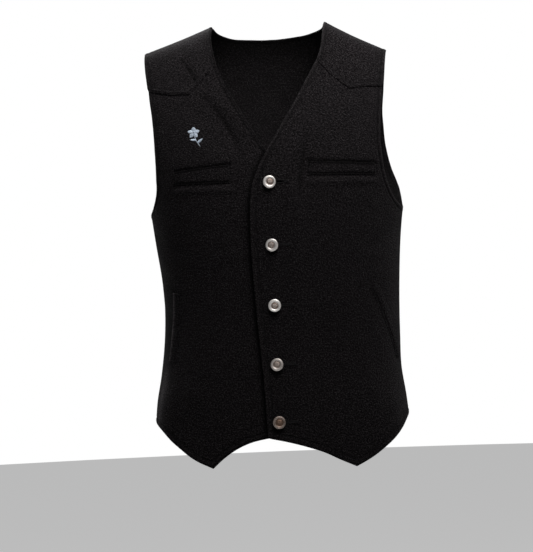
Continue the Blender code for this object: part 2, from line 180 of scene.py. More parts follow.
RIGHT = {
    "neck": [(-20.6, 0), (-20.8, 12), (-20.7, 23.3), (-20.3, 42), (-19.3, 65.3)],
    "arm_top": [(RIGHT_TIP, 0), (-52.1, 18.3), (-52.4, 68.5)],
    "yoke_in": [(-19.3, 65.3), (-22.7, 76), (-25.8, 83.3), (-28.6, 90.5), (-31.8, 99.5)],
    "yoke_out": [(-31.8, 99.5), (-35.6, 95), (-39.6, 91), (-46, 80.5), (-52.4, 68.5)],
    "front_edge": [
        (-19.3, 65.3), (-16.4, 100.3), (-12, 134.5), (-7.4, 165.4), (-3.5, 188.3), (-0.7, 202.5),
        (1.8, 216), (5.4, 236), (8.4, 262), (9.6, 300), (9.8, 380), (9.6, 470),
        (9.2, 560), (9, 621),
    ],
    "armhole": [
        (-52.4, 68.5), (-54.7, 128.8), (-57.9, 181.4), (-61.1, 224.5), (-65.5, 258), (-74, 277),
        (-82, 283.5), (-90, 286),
    ],
    "side": [(-90, 286), (-90, 602)],
    "hem_in": [(9, 621), (-4.9, 625.2), (-13.2, 631.3), (-20.1, 641.5), (-25.6, 653.5), (-31, 668)],
    "hem_out": [(-31, 668), (-42.5, 653.6), (-54.8, 632.3), (-68.1, 611.6), (-80, 604), (-90, 602)],
}
BACK = {
    "shoulder_left": [(180 - LEFT_TIP, 0), (158.8, 0)],
    "neck": [
        (158.8, 0), (160, 6), (165, 18.5), (172, 27), (180, 30), (188, 27),
        (195, 18.5), (199.5, 6), (200.6, 0),
    ],
    "shoulder_right": [(200.6, 0), (180 - RIGHT_TIP, 0)],
    "armhole_left": [
        (180 - LEFT_TIP, 0), (130.6, 30), (129.8, 80), (127.8, 130), (124.5, 178),
        (118, 222), (106, 258), (97, 280), (90, 289),
    ],
    "armhole_right": [
        (180 - RIGHT_TIP, 0), (232, 30), (231.8, 80), (233.4, 130), (237, 178),
        (243.5, 222), (255, 256), (264, 278), (270, 286),
    ],
    "side_left": [(90, 289), (90, 602)],
    "side_right": [(270, 286), (270, 602)],
    "hem": [(90, 602), (120, 607), (180, 612), (240, 607), (270, 602)],
}
ARMHOLE_SHARE = 12 / 28  # share of a front's rows that end on its armhole
BACK_ARMHOLE_SHARE = 14 / 30  # the same behind
BACK_TOP = (0.3, 0.4, 0.3)  # shares of the back's columns on a shoulder, the neck and a shoulder
LAP_STARTS = 196.0  # drop of the point of the V

# How far inside an edge its topstitching runs: drop, distance
FRONT_ROW = [(0, 4.8), (190, 5.2), (262, 8.6), (700, 8.6)]
HEM_ROW = [(0, 8), (700, 8)]
ARM_ROW = [(0, 6.4), (700, 6.4)]
NECK_ROW = [(0, 4.8), (700, 4.8)]
YOKE_ROW = [(0, 6.6), (700, 6.6)]
WELT_ROW = [(0, 2.1), (700, 2.1)]

# Beside a row of stitches: half widths of the trough that the thread draws, of the puckers' reach,
# of the dark line on the row (pressed nap and painted shade), of the pale band (worn nap and a
# painted highlight) and of the painted shade at an edge; wavelength and weight of the puckers; and
# the five points of a stitch, as shares of its length and heights over the cloth
TROUGH, PUCKERED, ON_ROW, RUB_AND_HIGHLIGHT_BAND, EDGE_SHADE = 1.25, 6.5, 1.4, 1.7, 1.8
PUCKERS = [(9.7, 0.35), (14.9, 0.5), (23.3, 0.6), (41, 0.5)]
PITCH, STITCH, THREAD = 3.5, 2.9, 0.3  # from stitch to stitch, length, radius
STITCH_AT = np.array([-0.5, -0.38, 0, 0.38, 0.5])
STITCH_RISE = np.array([-0.45, 0.08, 0.2, 0.08, -0.45])

# Welts: angle and drop at the inner top, inner bottom, outer top and outer bottom corner
WELTS = {
    "chest_welt_left": [(16.8, 219.5), (16.8, 239.5), (49.6, 221), (50.8, 240.8)],
    "chest_welt_right": [(-17.3, 219), (-17.5, 246.5), (-45.7, 223.5), (-46.5, 245)],
    "side_welt_left": [(50, 408), (74, 514), (57, 404.5), (80.5, 511)],
    "side_welt_right": [(-53.5, 408), (-58.5, 511), (-60.5, 404.5), (-65.5, 508)],
}

# Painted shade on the front round a welt: strength, half width and shift (degrees, millimetres
# down) of the band of painted shadow at its open edge, strength of the painted shade at its foot,
# and of that at its ends
WELT_SHADE = {
    "chest_welt_left": (1, 2.9, (0, -1.2), 0.15, 0.5),
    "chest_welt_right": (1, 2.9, (0, -1.2), 0, 0.3),
    "side_welt_left": (0.1, 1.6, (0.2, 0), 0.1, 0),
    "side_welt_right": (1, 15, (-6.5, 0), 0, 0),
}
# How deep the front is grooved at a welt's open edge and foot, how far the welt's open edge curls
# out, how pale the nap is all round (worn nap and a painted highlight) and at the open edge (a
# painted highlight), how dark it lies on the stitches (pressed nap and painted shade) and at the
# open edge (painted shade)
WELT_EDGES = {
    "chest_welt_left": (-1.8, -0.25, 0, 0, 0, 0.40, 0.95),
    "chest_welt_right": (-1.8, -0.15, 0, 0, 0, 0.40, 0.95),
    "side_welt_left": (-0.2, -0.1, -0.7, 0.7, 0, 0.05, 0),
    "side_welt_right": (-1, -0.2, 1.6, 0.1, 13, 0.10, 0),
}
# Half widths of those grooves at the open edge, foot and ends, and how deep the ends are grooved
WELT_GROOVES = (2.2, 2.4, 1.7)
END_GROOVE = -0.5
# The bulk of a chest pocket: how far below the welt, height and half width, and the same of the
# painted highlight on the bulk
BULK = (9, 1.3, 5.5)
BULK_HIGHLIGHT = (6.5, 0.30, 4.2)
# A painted glow of light on the hip below the right side pocket: its ends (degrees, drop),
# strength and half width
HIP_GLOW = ((-70, 508), (-72, 592), 7, 9)
# Painted shadow of the lap's edge on the right front: how far outside the edge (degrees), strength, half
# width
LAP_SHADOW = (0.65, 1, 4.2)
# Painted shade on the right front under each buttonhole's slit, and painted shade in a sharp crease's
# hollow: strength, half width
HOLE_SHADE = (0.9, 2.6)
CREASE_SHADE = (0.8, 2.6)
SHARP = 5.1  # creases narrower than this are sharp

# Buttons down the centre front: drop, how far its buttonhole gapes, tilt aside and up in degrees,
# how tarnished the rim and the hollow are, and how far the hollow sits off the middle
BUTTONS = [
    (247, 3.6, 7, 4, 0.16, 0.85, (0.8, 0.3)),
    (339.3, 0.5, -7, 1, 0.18, 0.75, (-0.8, 0.2)),
    (428.7, 0.5, 2, 3, 0, 0.95, (0.1, -0.4)),
    (516.6, 0.5, -4, 5, 0.48, 0.40, (-0.2, 0.3)),
    (602, 0.6, 6, 4, 0.84, 0.9, (0.3, -0.2)),
]
BUTTON_PROFILE = [  # radius, height above the back of the head, top to bottom down the outside
    (0, 3.2), (2.3, 3), (3.8, 2.5), (4.75, 2.1), (5.4, 2.45), (6.4, 3), (7.4, 3.3), (8.55, 3),
    (9.3, 2.3), (9.5, 1.4), (9.1, 0.5), (8.2, 0), (1, 0), (1, -3.1), (0, -3.1),
]
HEAD_ROWS = 12  # rows of the profile that are the head
FACE_RINGS = 30  # rings of the finished head that lie on its face
BUTTON_LIFT = 0.6  # gap between the cloth and a button's back
HOLE_IN = -2.5  # buttonhole's ends, from the centre line
HOLE_OUT = 26.0
HOLE_MIDDLE = 12.0
BUTTON_HOLLOW = (0.55, 9.5)  # of the cloth behind a button: depth, half width
HOLE_LIPS = (14.0, 0.3, 1.6, 1.3)  # half length, height, distance from the slit, half width
SHANK_HOLE = (1.2, 4.0)  # half the gap round the shank, half width

# The small stitched sprig on the right chest: its middle (angle, drop), and its parts in millimetres
# from there, to the side and up
SPRIG = (-31.6, 171)
BLOOM = (-2.2, 7.5)  # middle of the flower
PETALS = 5
PETAL = (1.2, 9.4, 3.7)  # where a petal starts and ends, half width
STEM = [(-1.6, 4), (-0.6, -2.5), (1.6, -9), (5, -15.5)]
LEAVES = [(0.2, -5.5, 168, 9), (2.2, -10.2, 36, 10)]  # foot, direction in degrees, length
LEAF_HALF_WIDTH = 2.2

# The photo's camera: metres away, degrees round to the wearer's left, tip in degrees, what it aims
# at in millimetres, focal length and longer side of the picture in pixels
CAMERA_FAR, CAMERA_ROUND, CAMERA_TIP = 3.0, 4.0, 2.3
CAMERA_AIM = (-17.94, 0, -385)
FOCAL_PIXELS, PICTURE_PIXELS = 1960.0, 552.0
SENSOR = 36.0


# The worn form

def smooth(x, y, q):
    """Values at q of the smooth curve through the rows (x, y)."""
    x, y, q = np.asarray(x, float), np.asarray(y, float), np.clip(q, x[0], x[-1])
    slope = np.gradient(y, x, axis=0)
    i = np.clip(np.searchsorted(x, q, side="right") - 1, 0, len(x) - 2)
    span = x[i + 1] - x[i]
    s = (q - x[i]) / span
    a, b = 2 * s**3 - 3 * s**2 + 1, (s**3 - 2 * s**2 + s) * span
    c, d = 3 * s**2 - 2 * s**3, (s**3 - s**2) * span
    if y.ndim > 1:
        a, b, c, d = (k[..., None] for k in (a, b, c, d))
    return a * y[i] + b * slope[i] + c * y[i + 1] + d * slope[i + 1]


def travelled(line):
    """Length along a line of points, from its start to each of them."""
    return np.concatenate([[0], np.cumsum(np.linalg.norm(np.diff(line, axis=0), axis=-1))])


def read_at(at, s, rows):
    """Rows read at the lengths at, where s is the length at each of them."""
    return np.stack([np.interp(at, s, column) for column in rows.T], -1)


def hump(off, half_width):
    """A bell: e to minus the square of off over half_width."""
    return np.exp(-((off / half_width) ** 2))


def ease(start, end, q):
    """0 before start, 1 past end, and the smooth step 3s^2 - 2s^3 between."""
    s = np.clip((q - start) / (end - start), 0, 1)
    return s * s * (3 - 2 * s)


def unit(v):
    return v / np.maximum(np.linalg.norm(v, axis=-1, keepdims=True), 1e-12)


ROWS = np.array(FORM)
MIRRORED = np.vstack([ROWS[1] * (1, -1, -1, 1, 1), ROWS])
LEVELS = travelled(MIRRORED[:, :2])
LEVELS = LEVELS - LEVELS[1]
LONGEST = LEVELS[-1]
LOOKUP = np.linspace(0, LONGEST, 4000)
DROPS = smooth(LEVELS, MIRRORED[:, 0], LOOKUP)


def level_of(drop):
    return np.interp(drop, DROPS, LOOKUP)


def drop_of(level):
    return np.interp(level, LOOKUP, DROPS)


def place_at(degrees, drop):
    """A place (angle, level) from degrees and a drop."""
    return np.array([math.radians(degrees), float(level_of(drop))])


def body(angle, level):
    """Inner face of the cloth, without its folds: a squared ellipse round the body at each
    level, which tips down along the shoulder line near the top."""
    drop, front, back, left, right = np.moveaxis(smooth(LEVELS, MIRRORED, level), -1, 0)
    sine, cosine = np.sin(angle), np.cos(angle)
    x = sine * np.where(sine > 0, left, right)
    deep = np.maximum(1 - np.abs(sine) ** SQUARENESS, 0) ** (1 / SQUARENESS)
    y = np.where(cosine > 0, -front, back) * deep
    line = np.array(SHOULDER)
    tips = smooth(line[:, 0], line[:, 1:], np.abs(x))
    fade = 1 - ease(0, SLOPE_ENDS, drop)
    z = -drop - fade * np.where(x > 0, tips[..., 0], tips[..., 1])
    return np.stack([x, y, z], -1)


def slopes(angle, level, reach=0.02, turn=1e-4):
    """How a point of the inner face moves for a radian round the body and for a millimetre of
    level, measured over a short reach."""
    near = np.clip(level, reach, LONGEST - reach)
    by_angle = (body(angle + turn, near) - body(angle - turn, near)) / (2 * turn)
    by_level = (body(angle, near + reach) - body(angle, near - reach)) / (2 * reach)
    return by_angle, by_level


def bells(rows, angle, drop):
    """Sum of soft folds: each is a bell across its line, which may bow, and dies out at its ends."""
    total = np.zeros_like(angle)
    for a0, d0, a1, d1, width, height, bow in rows:
        turn = np.degrees(angle) - a0
        u = (turn - 360 * np.round(turn / 360)) * MM_PER_DEGREE
        v = drop - d0
        way = np.array([(a1 - a0) * MM_PER_DEGREE, d1 - d0])
        length = np.hypot(*way)
        way = way / length
        along = (u * way[0] + v * way[1]) / length
        swing = np.clip(1 - (2 * along - 1) ** 2, 0, 1)
        off = u * way[1] - v * way[0] - bow * swing
        total += height * swing**0.8 * hump(off, width)
    return total


def form(angle, level):
    """A point of the inner face with its large folds, and which way the cloth faces there."""
    angle, level = np.broadcast_arrays(np.asarray(angle, float), np.asarray(level, float))
    by_angle, by_level = slopes(angle, level)
    facing = unit(np.cross(by_level, by_angle))
    rise = bells(FOLDS, angle, drop_of(level))
    return body(angle, level) + facing * rise[..., None], facing


def laid(place, out):
    """Points that stand out from the inner face by out, and which way the cloth faces there."""
    point, facing = form(*np.moveaxis(place, -1, 0))
    return point + facing * np.asarray(out)[..., None], facing


def on_cloth(place, out=PANEL):
    return laid(place, out)[0]


# Edges, grids and rows of stitches

def run(rows, shares):
    """One run of an outline as points (angle, level): the smooth curve through its rows, read at
    the shares of its length on the cloth."""
    rows = np.array(rows, float)
    points = np.stack([np.radians(rows[:, 0]), level_of(rows[:, 1])], -1)
    s = travelled(body(*points.T))
    fine = smooth(s, points, np.linspace(0, s[-1], 900))
    fine[:, 1] = np.clip(fine[:, 1], 0, LONGEST)
    s = travelled(body(*fine.T))
    return read_at(shares * s[-1], s, fine)


def join(*runs):
    """Runs end to end as one line, each shared corner once."""
    return np.vstack([runs[0]] + [r[1:] for r in runs[1:]])


def line_of(*runs):
    """Runs of an outline as one line (angle, level)."""
    return join(*[run(rows, np.linspace(0, 1, 200)) for rows in runs])


def between_points(a, b, count=40):
    return a + (b - a) * np.linspace(0, 1, count)[:, None]


def stations(length, start=0.0, end=0.0, fine=0.8, coarse=2.6, marks=()):
    """Shares of a length for grid lines: fine apart within the start and end bands and near each
    mark, and then wider and wider up to coarse."""
    x = np.linspace(0, length, 3000)
    gap = np.full_like(x, coarse)
    bands = [(x, start), (length - x, end)] + [(np.abs(x - mark), 3.5) for mark in marks]
    for far, band in bands:
        if band:
            gap = np.minimum(gap, fine + 0.16 * np.maximum(far - band, 0))
    count = np.concatenate([[0], np.cumsum(np.diff(x) / gap[1:])])
    cells = int(round(count[-1]))
    return np.interp(np.linspace(0, count[-1], cells + 1), count, x) / length


def patch(top, bottom, start, end, u, v):
    """Fills four edges with a grid (row, column, angle and level): each inner line is a blend of
    the two edges beside it, at the shares u across and v down."""
    u, v = u[None, :, None], v[:, None, None]
    corners = (1 - v) * ((1 - u) * top[0] + u * top[-1]) + v * ((1 - u) * bottom[0] + u * bottom[-1])
    sides = (1 - u) * start[:, None] + u * end[:, None]
    return (1 - v) * top + v * bottom + sides - corners


def beside(points, line):
    """Distance from each point to a line of points, and how far along the line its foot is."""
    s = travelled(line)
    flat = points.reshape(-1, 3)
    far, where = np.empty(len(flat)), np.empty(len(flat))
    squares = (line**2).sum(-1)
    for share in np.array_split(np.arange(len(flat)), max(1, len(flat) * len(line) // 3_000_000)):
        p = flat[share]
        near = (squares - 2 * p @ line.T).argmin(1)
        best = np.linalg.norm(p - line[near], axis=-1)
        foot = s[near]
        for step in (-1, 0):
            i = np.clip(near + step, 0, len(line) - 2)
            way = line[i + 1] - line[i]
            t = np.clip(((p - line[i]) * way).sum(-1) / (way**2).sum(-1), 0, 1)
            gap = np.linalg.norm(p - line[i] - way * t[:, None], axis=-1)
            foot = np.where(gap < best, s[i] + t * (s[i + 1] - s[i]), foot)
            best = np.minimum(gap, best)
        far[share], where[share] = best, foot
    return far.reshape(points.shape[:-1]), where.reshape(points.shape[:-1])


def near_line(points, line, half_width):
    """1 on a line (angle, level) of the cloth, and a bell across it."""
    return hump(beside(points, on_cloth(line))[0], half_width)


def spaced(line, step):
    """The same line (angle, level) read at even steps along the cloth."""
    s = travelled(on_cloth(line))
    return read_at(np.linspace(0, s[-1], max(2, int(round(s[-1] / step)) + 1)), s, line)


def inset(edge, far, centre):
    """The line on the cloth that runs far inside an edge: each point steps across the cloth, at a
    right angle to the edge and towards the centre, and steps that cross another part of the edge
    are left out."""
    angle, level = edge.T
    by_angle, by_level = slopes(angle, level, reach=0.05)
    place = on_cloth(edge)
    across = unit(np.cross(np.cross(by_level, by_angle), np.gradient(place, axis=0)))
    aa, ll, al = (by_angle**2).sum(-1), (by_level**2).sum(-1), (by_angle * by_level).sum(-1)
    solved = aa * ll - al**2
    found = []
    for side in (1, -1):
        step = across * (side * far)[:, None]
        pa, pl = (step * by_angle).sum(-1), (step * by_level).sum(-1)
        moved = np.stack([angle + (pa * ll - pl * al) / solved, level + (pl * aa - pa * al) / solved], -1)
        moved[:, 1] = np.clip(moved[:, 1], 0, LONGEST)
        miss = np.linalg.norm(on_cloth(moved) - on_cloth(np.array([centre])), axis=-1).mean()
        found.append((miss, moved))
    moved = min(found, key=lambda pair: pair[0])[1]
    clear, _ = beside(on_cloth(moved), place)
    return moved[clear > 0.965 * far]


class Row:
    """A row of topstitching beside an edge: the edge, the row, and what they do to the cloth.
    rub is how pale the nap is at rub_at from the edge, worn nap and a
    painted highlight where the edge catches light; press is how dark the row lies, pressed
    nap and painted shade in its trough; and dark is painted shade on the edge itself."""

    def __init__(self, edge, distances, centre, phase, rub=0.3, press=0.7, dark=0.0, rub_at=0.8):
        self.edge = spaced(edge, 1.5)
        self.far = np.interp(drop_of(self.edge[:, 1]), *np.array(distances).T)
        self.line = spaced(inset(self.edge, self.far, centre), 1.5)
        self.edge_place, self.line_place = on_cloth(self.edge), on_cloth(self.line)
        self.phase, self.rub, self.press, self.dark, self.rub_at = phase, rub, press, dark, rub_at

    def relief(self, points, puff=0.5, draw=0.6, pucker=0.22):
        """The turned edge is a little thicker up to its stitching, the thread draws the cloth in
        as a narrow trough, and short uneven waves run along it and die out beside it."""
        to_edge, along = beside(points, self.edge_place)
        share = to_edge / np.interp(along, travelled(self.edge_place), self.far)
        to_line, along = beside(points, self.line_place)
        turned = puff * ease(0.0, 0.4, share) * (1 - ease(0.7, 1.25, share))
        waves = sum(
            weight * np.sin(2 * np.pi * along / wave + self.phase * k + k * k)
            for k, (wave, weight) in enumerate(PUCKERS, 1)
        )
        return turned - draw * hump(to_line, TROUGH) + pucker * waves * hump(to_line, PUCKERED)

    def wear_and_light(self, points):
        """How pale the nap is in a narrow band along the edge, worn nap and a painted highlight, and how
        dark it lies, pressed nap and painted shade most on the row of stitches and, where dark is set,
        painted shade at the edge."""
        to_edge, _ = beside(points, self.edge_place)
        to_line, _ = beside(points, self.line_place)
        rubbed = self.rub * hump(to_edge - self.rub_at, RUB_AND_HIGHLIGHT_BAND)
        return rubbed, np.maximum(self.press * hump(to_line, ON_ROW), self.dark * hump(to_edge, EDGE_SHADE))


def rows_of(outline, centre, *table):
    """Rows of topstitching inside an outline: the runs that each follows, its distances, the phase
    of its puckers and its wear."""
    return [
        Row(line_of(*[outline[name] for name in names]), distances, centre, phase, **wear_and_light)
        for names, distances, phase, wear_and_light in table
    ]


# Meshes

parts = bpy.data.collections.new("vest_finish")
bpy.context.scene.collection.children.link(parts)
ARC = np.linspace(-np.pi, 1.75 * np.pi, 1200)
ARC_LENGTH = travelled(body(ARC, np.full_like(ARC, 330.0)))  # round the chest


def pattern_place(place):
    """Place on the flat cloth: distance round the chest, and level."""
    angle, level = place.T
    return np.stack([np.interp(angle, ARC, ARC_LENGTH), -level], -1) / PATTERN_UNIT


def make(name, points, faces, materials, slots=None, uv=None, marks=None):
    """A smooth mesh from points in millimetres and faces of any number of corners."""
    mesh = bpy.data.meshes.new(name)
    mesh.from_pydata((np.asarray(points) * MM).tolist(), [], faces)
    for m in materials:
        mesh.materials.append(m)
    if slots is not None:
        mesh.polygons.foreach_set("material_index", slots)
    if uv is not None:
        corner = np.empty(len(mesh.loops), np.int32)
        mesh.loops.foreach_get("vertex_index", corner)
        layer = mesh.uv_layers.new(name="cloth")
        layer.data.foreach_set("uv", np.asarray(uv, np.float32)[corner].ravel())
    for key, values in (marks or {}).items():
        mark = mesh.attributes.new(key, "FLOAT", "POINT")
        mark.data.foreach_set("value", np.asarray(values, np.float32))
    mesh.polygons.foreach_set("use_smooth", np.ones(len(mesh.polygons), bool))
    mesh.update()
    made = bpy.data.objects.new(name, mesh)
    parts.objects.link(made)
    return made


def draw_in(outer, facing, rim):
    """Draws the outer face in by rim at each of its four sides; that dies out inside."""
    for axis in (0, 1):
        for way in (1, -1):
            grid, look = (np.moveaxis(values, axis, 0)[::way] for values in (outer, facing))
            away = unit(np.cross(look[0], np.gradient(grid[0], axis=0)))
            away *= np.sign(((grid[0] - grid[2]) * away).sum(-1, keepdims=True))
            deep = np.cumsum(np.linalg.norm(np.diff(grid, axis=0, prepend=grid[:1]), axis=-1), axis=0)
            grid -= away[None] * (rim * np.clip(1 - deep / DRAWN_BAND, 0, 1))[..., None]


def shell(name, place, out, wall, wear_and_light, slits=(), side=0, rim=RIM):
    """A closed shell of cloth. place is a grid (angle, level); its outer face stands out from the
    inner face of the form by out, and its own inner face is wall behind that. Near its outline the
    grid is drawn in by rim, and half rounds of that depth join the two faces round the outline
    and round each slit; painted shade darkens those half rounds. wear_and_light holds the pale grid
    of worn nap and painted highlights, and the dark grid of pressed nap and painted shade. side
    moves the shell off the plane of the shoulder and side seams."""
    outer, facing = laid(place, out)
    outer = outer + np.array([0.0, side * SEAM / 2, 0.0])
    rows, columns = out.shape
    i, j = rows // 2, columns // 2
    turned = np.cross(outer[i + 1, j] - outer[i, j], outer[i, j + 1] - outer[i, j])
    sign = np.sign(turned @ facing[i, j])
    draw_in(outer, facing, rim)
    inner = outer - facing * wall[..., None]

    index = np.arange(rows * columns).reshape(rows, columns)
    flat = [outer.reshape(-1, 3), inner.reshape(-1, 3), facing.reshape(-1, 3)]
    below = index.copy()
    loops = [np.concatenate([index[0, :-1], index[:-1, -1], index[-1, :0:-1], index[:0:-1, 0]])]
    bulges = [rim]
    places = place.reshape(-1, 2)
    wear_and_painted_light = np.stack(wear_and_light, -1).reshape(-1, 2)
    for row, first, last, gape in slits:
        upper = index[row, first + 1:last]
        lower = len(flat[0]) + np.arange(len(upper))
        opened = gape[first + 1:last, None] * np.array([0.0, 0.0, 1.0])
        flat = [np.vstack([values, values[upper]]) for values in flat]
        for values in flat[:2]:
            values[upper] += opened
            values[lower] -= opened
        below[row, first + 1:last] = lower
        loops.append(np.concatenate([[index[row, first]], lower, [index[row, last]], upper[::-1]]))
        bulges.append(0.3)
        places = np.vstack([places, places[upper]])
        wear_and_painted_light = np.vstack([wear_and_painted_light, wear_and_painted_light[upper]])
    outer, inner, facing = flat
    count = len(outer)
    top, under = below[:-1], index[1:]
    quads = np.stack([top[:, :-1], under[:, :-1], under[:, 1:], top[:, 1:]], -1).reshape(-1, 4)
    faces = [quads, quads[:, ::-1] + count]
    slot = [np.zeros(len(quads), int), np.ones(len(quads), int)]
    points = [outer, inner]
    uv = [pattern_place(places)] * 2
    marks = [wear_and_painted_light, wear_and_painted_light * (0, 1)]
    total = 2 * count
    for loop, bulge in zip(loops, bulges):
        way = np.roll(outer[loop], -1, axis=0) - np.roll(outer[loop], 1, axis=0)
        off = unit(np.cross(facing[loop], way)) * sign
        middle, half = (outer[loop] + inner[loop]) / 2, (outer[loop] - inner[loop]) / 2
        rings = [loop]
        for turn in HALF_ROUND:
            c, s = math.cos(turn * math.pi), math.sin(turn * math.pi)
            points.append(middle + half * c + off * bulge * s)
            rings.append(total + np.arange(len(loop)))
            uv.append(pattern_place(places[loop]) + 0.01 * turn)
            # Painted shade round the turned edge: darkest midway round the half round, less where the edge
            # is pale.
            pale, dark = (wear_and_painted_light[loop] * (1 - turn)).T
            marks.append(np.stack([pale, np.maximum(dark, 0.6 * s * np.maximum(1 - pale, 0))], -1))
            total += len(loop)
        rings.append(loop + count)
        for a, b in zip(rings[:-1], rings[1:]):
            faces.append(np.stack([a, np.roll(a, -1), np.roll(b, -1), b], -1))
            slot.append(np.zeros(len(loop), int))
    faces = np.vstack(faces)
    if sign < 0:
        faces = faces[:, ::-1]
    rubbed, pressed = np.vstack(marks).T
    return make(
        name, np.vstack(points), faces.tolist(), [WOOL, REVERSE], np.concatenate(slot), np.vstack(uv),
        {"rubbed": rubbed, "pressed": pressed},
    )


def ring_faces(index):
    """Quads that join each ring of points to the next: index is (..., ring, point)."""
    a, b = index[..., :-1, :], index[..., 1:, :]
    return np.stack([a, b, np.roll(b, -1, axis=-1), np.roll(a, -1, axis=-1)], -1).reshape(-1, 4).tolist()


def threads(lines, up, radius, sides=6):
    """Many short threads at once. lines is (thread, place, 3): each place gets a ring of points
    round its line, smaller at the two ends, and flat ends close it."""
    count, places = lines.shape[:2]
    along = unit(np.gradient(lines, axis=1))
    across = unit(np.cross(along, up))
    rise = np.cross(across, along)
    size = np.full(places, radius, float)
    size[[0, -1]] = radius * 0.55
    turn = 2 * np.pi * np.arange(sides) / sides
    ring = np.cos(turn)[:, None] * across[:, :, None] + np.sin(turn)[:, None] * rise[:, :, None]
    points = lines[:, :, None] + ring * size[None, :, None, None]
    index = np.arange(count * places * sides).reshape(count, places, sides)
    ends = np.vstack([index[:, 0], index[:, -1, ::-1]])
    return points.reshape(-1, 3), ring_faces(index) + ends.tolist()


def merge(pieces):
    """Several (points, faces) as one."""
    points, faces, start = [], [], 0
    for p, f in pieces:
        points.append(p)
        faces += [[i + start for i in face] for face in f]
        start += len(p)
    return np.vstack(points), faces


def topstitch(row, panel):
    """The stitches of a row: each is a short thread that comes up out of the panel's outer face,
    lies on it and goes down again."""
    line = spaced(row.line, 0.5)
    place, facing = laid(line, panel.height(line))
    s = travelled(place)
    count = max(1, int(s[-1] / PITCH))
    middle = (np.arange(count) + 0.5) * s[-1] / count
    at = middle[:, None] + STITCH_AT * STITCH
    up = unit(read_at(at, s, facing))
    return threads(read_at(at, s, place) + up * STITCH_RISE[None, :, None], up, THREAD)


# Finishes

class Finish:
    """A material and its nodes, added one by one."""

    def __init__(self, name, colour, roughness, **sockets):
        self.material = bpy.data.materials.new(name)
        self.material.use_nodes = True
        self.tree = self.material.node_tree
        self.shader = self.tree.nodes["Principled BSDF"]
        self.set(**{"Base Color": (*colour, 1.0), "Roughness": roughness}, **sockets)

    def set(self, **sockets):
        for key, value in sockets.items():
            self.put(self.shader.inputs[key], value)

    def put(self, socket, value):
        if isinstance(value, bpy.types.NodeSocket):
            self.tree.links.new(value, socket)
        else:
            socket.default_value = value

    def add(self, kind, inputs, output=0, **settings):
        node = self.tree.nodes.new("ShaderNode" + kind)
        for key, value in settings.items():
            setattr(node, key, value)
        for key, value in inputs.items():
            self.put(node.inputs[key], value)
        return node.outputs[output]

    def noise(self, vector, scale, detail=2.0, roughness=0.55):
        return self.add(
            "TexNoise", {"Vector": vector, "Scale": scale, "Detail": detail, "Roughness": roughness}
        )

    def between(self, value, low, high, to_low=0.0, to_high=1.0):
        return self.add(
            "MapRange",
            {"Value": value, "From Min": low, "From Max": high, "To Min": to_low, "To Max": to_high},
        )

    def sum(self, *values, operation="ADD"):
        total = values[0]
        for value in values[1:]:
            total = self.add("Math", {0: total, 1: value}, operation=operation)
        return total

    def product(self, *values):
        return self.sum(*values, operation="MULTIPLY")

    def scaled(self, colour, share):
        return self.add("VectorMath", {0: colour, "Scale": share}, operation="SCALE")

    def mark(self, name):
        return self.add("Attribute", {}, output="Fac", attribute_name=name)

    def mix(self, share, a, b):
        node = self.tree.nodes.new("ShaderNodeMix")
        node.data_type = "RGBA"
        self.put(node.inputs["Factor"], share)
        self.put(node.inputs[6], (*a, 1.0))
        self.put(node.inputs[7], (*b, 1.0))
        return node.outputs[2]

    def raised(self, height, distance, strength=1.0):
        self.set(Normal=self.add("Bump", {"Height": height, "Distance": distance, "Strength": strength}))


def wool(name, dark, fleck, amount, sheen):
    """Matted wool spun from mixed fleece: a dark ground, short paler hairs that lie three ways and
    gather in clumps, a few bright specks, soft clouding, paler where the nap is worn and where a
    highlight is painted, and darker where the nap is pressed and where shade is painted."""
    f = Finish(name, dark, 0.95, **{
        "Sheen Weight": sheen, "Sheen Roughness": 0.45, "Sheen Tint": (0.62, 0.60, 0.62, 1.0),
        "Specular IOR Level": 0.03,
    })
    uv = f.add("UVMap", {}, uv_map="cloth")

    def hairs(turn, thin, long, start, end):
        laid_way = f.add("Mapping", {
            "Vector": uv, "Rotation": (0.0, 0.0, math.radians(turn)), "Scale": (thin, long, 1.0),
        })
        return f.between(f.noise(laid_way, 1.0, 2.0), start, end)

    one = hairs(28, 260, 50, 0.52, 0.68)
    two = hairs(-47, 230, 44, 0.53, 0.70)
    three = hairs(95, 300, 60, 0.50, 0.70)
    hairy = f.sum(one, two, f.product(three, 0.5), 0.25)
    nap = f.noise(uv, 38.0, 1.0, 0.5)
    tufts = f.noise(uv, 84.0, 1.0, 0.5)
    clumps = f.product(f.between(nap, 0.40, 0.64, 0.0, 2.3), f.between(tufts, 0.40, 0.62, 0.1, 2.1))
    specks = f.between(f.noise(uv, 76.0, 0.0), 0.62, 0.74)
    cloud = f.noise(uv, 7.0, 3.0)
    share = f.product(f.product(hairy, clumps), amount)
    share = f.sum(share, f.product(specks, amount * 2.2))
    # Painted highlights and worn nap: the pale mark, broken up by noise, mixes in more of the paler hairs.
    wear_and_painted_light = f.product(f.mark("rubbed"), f.between(f.noise(uv, 40.0, 2.0), 0.38, 0.66, 0.25, 1.3))
    share = f.sum(share, f.product(wear_and_painted_light, 0.12))
    clouded = f.between(cloud, 0.3, 0.7, 0.84, 1.16)
    # Painted shade and pressed nap: the dark mark scales the colour down to 0.22 of it.
    pressed = f.between(f.mark("pressed"), 0.0, 1.0, 1.0, 0.22)
    f.set(**{"Base Color": f.scaled(f.mix(share, dark, fleck), f.product(clouded, pressed))})
    fluff = f.product(f.sum(one, two, three), 0.09)
    f.raised(f.sum(nap, f.product(tufts, 0.7), fluff), 0.0014)
    return f.material


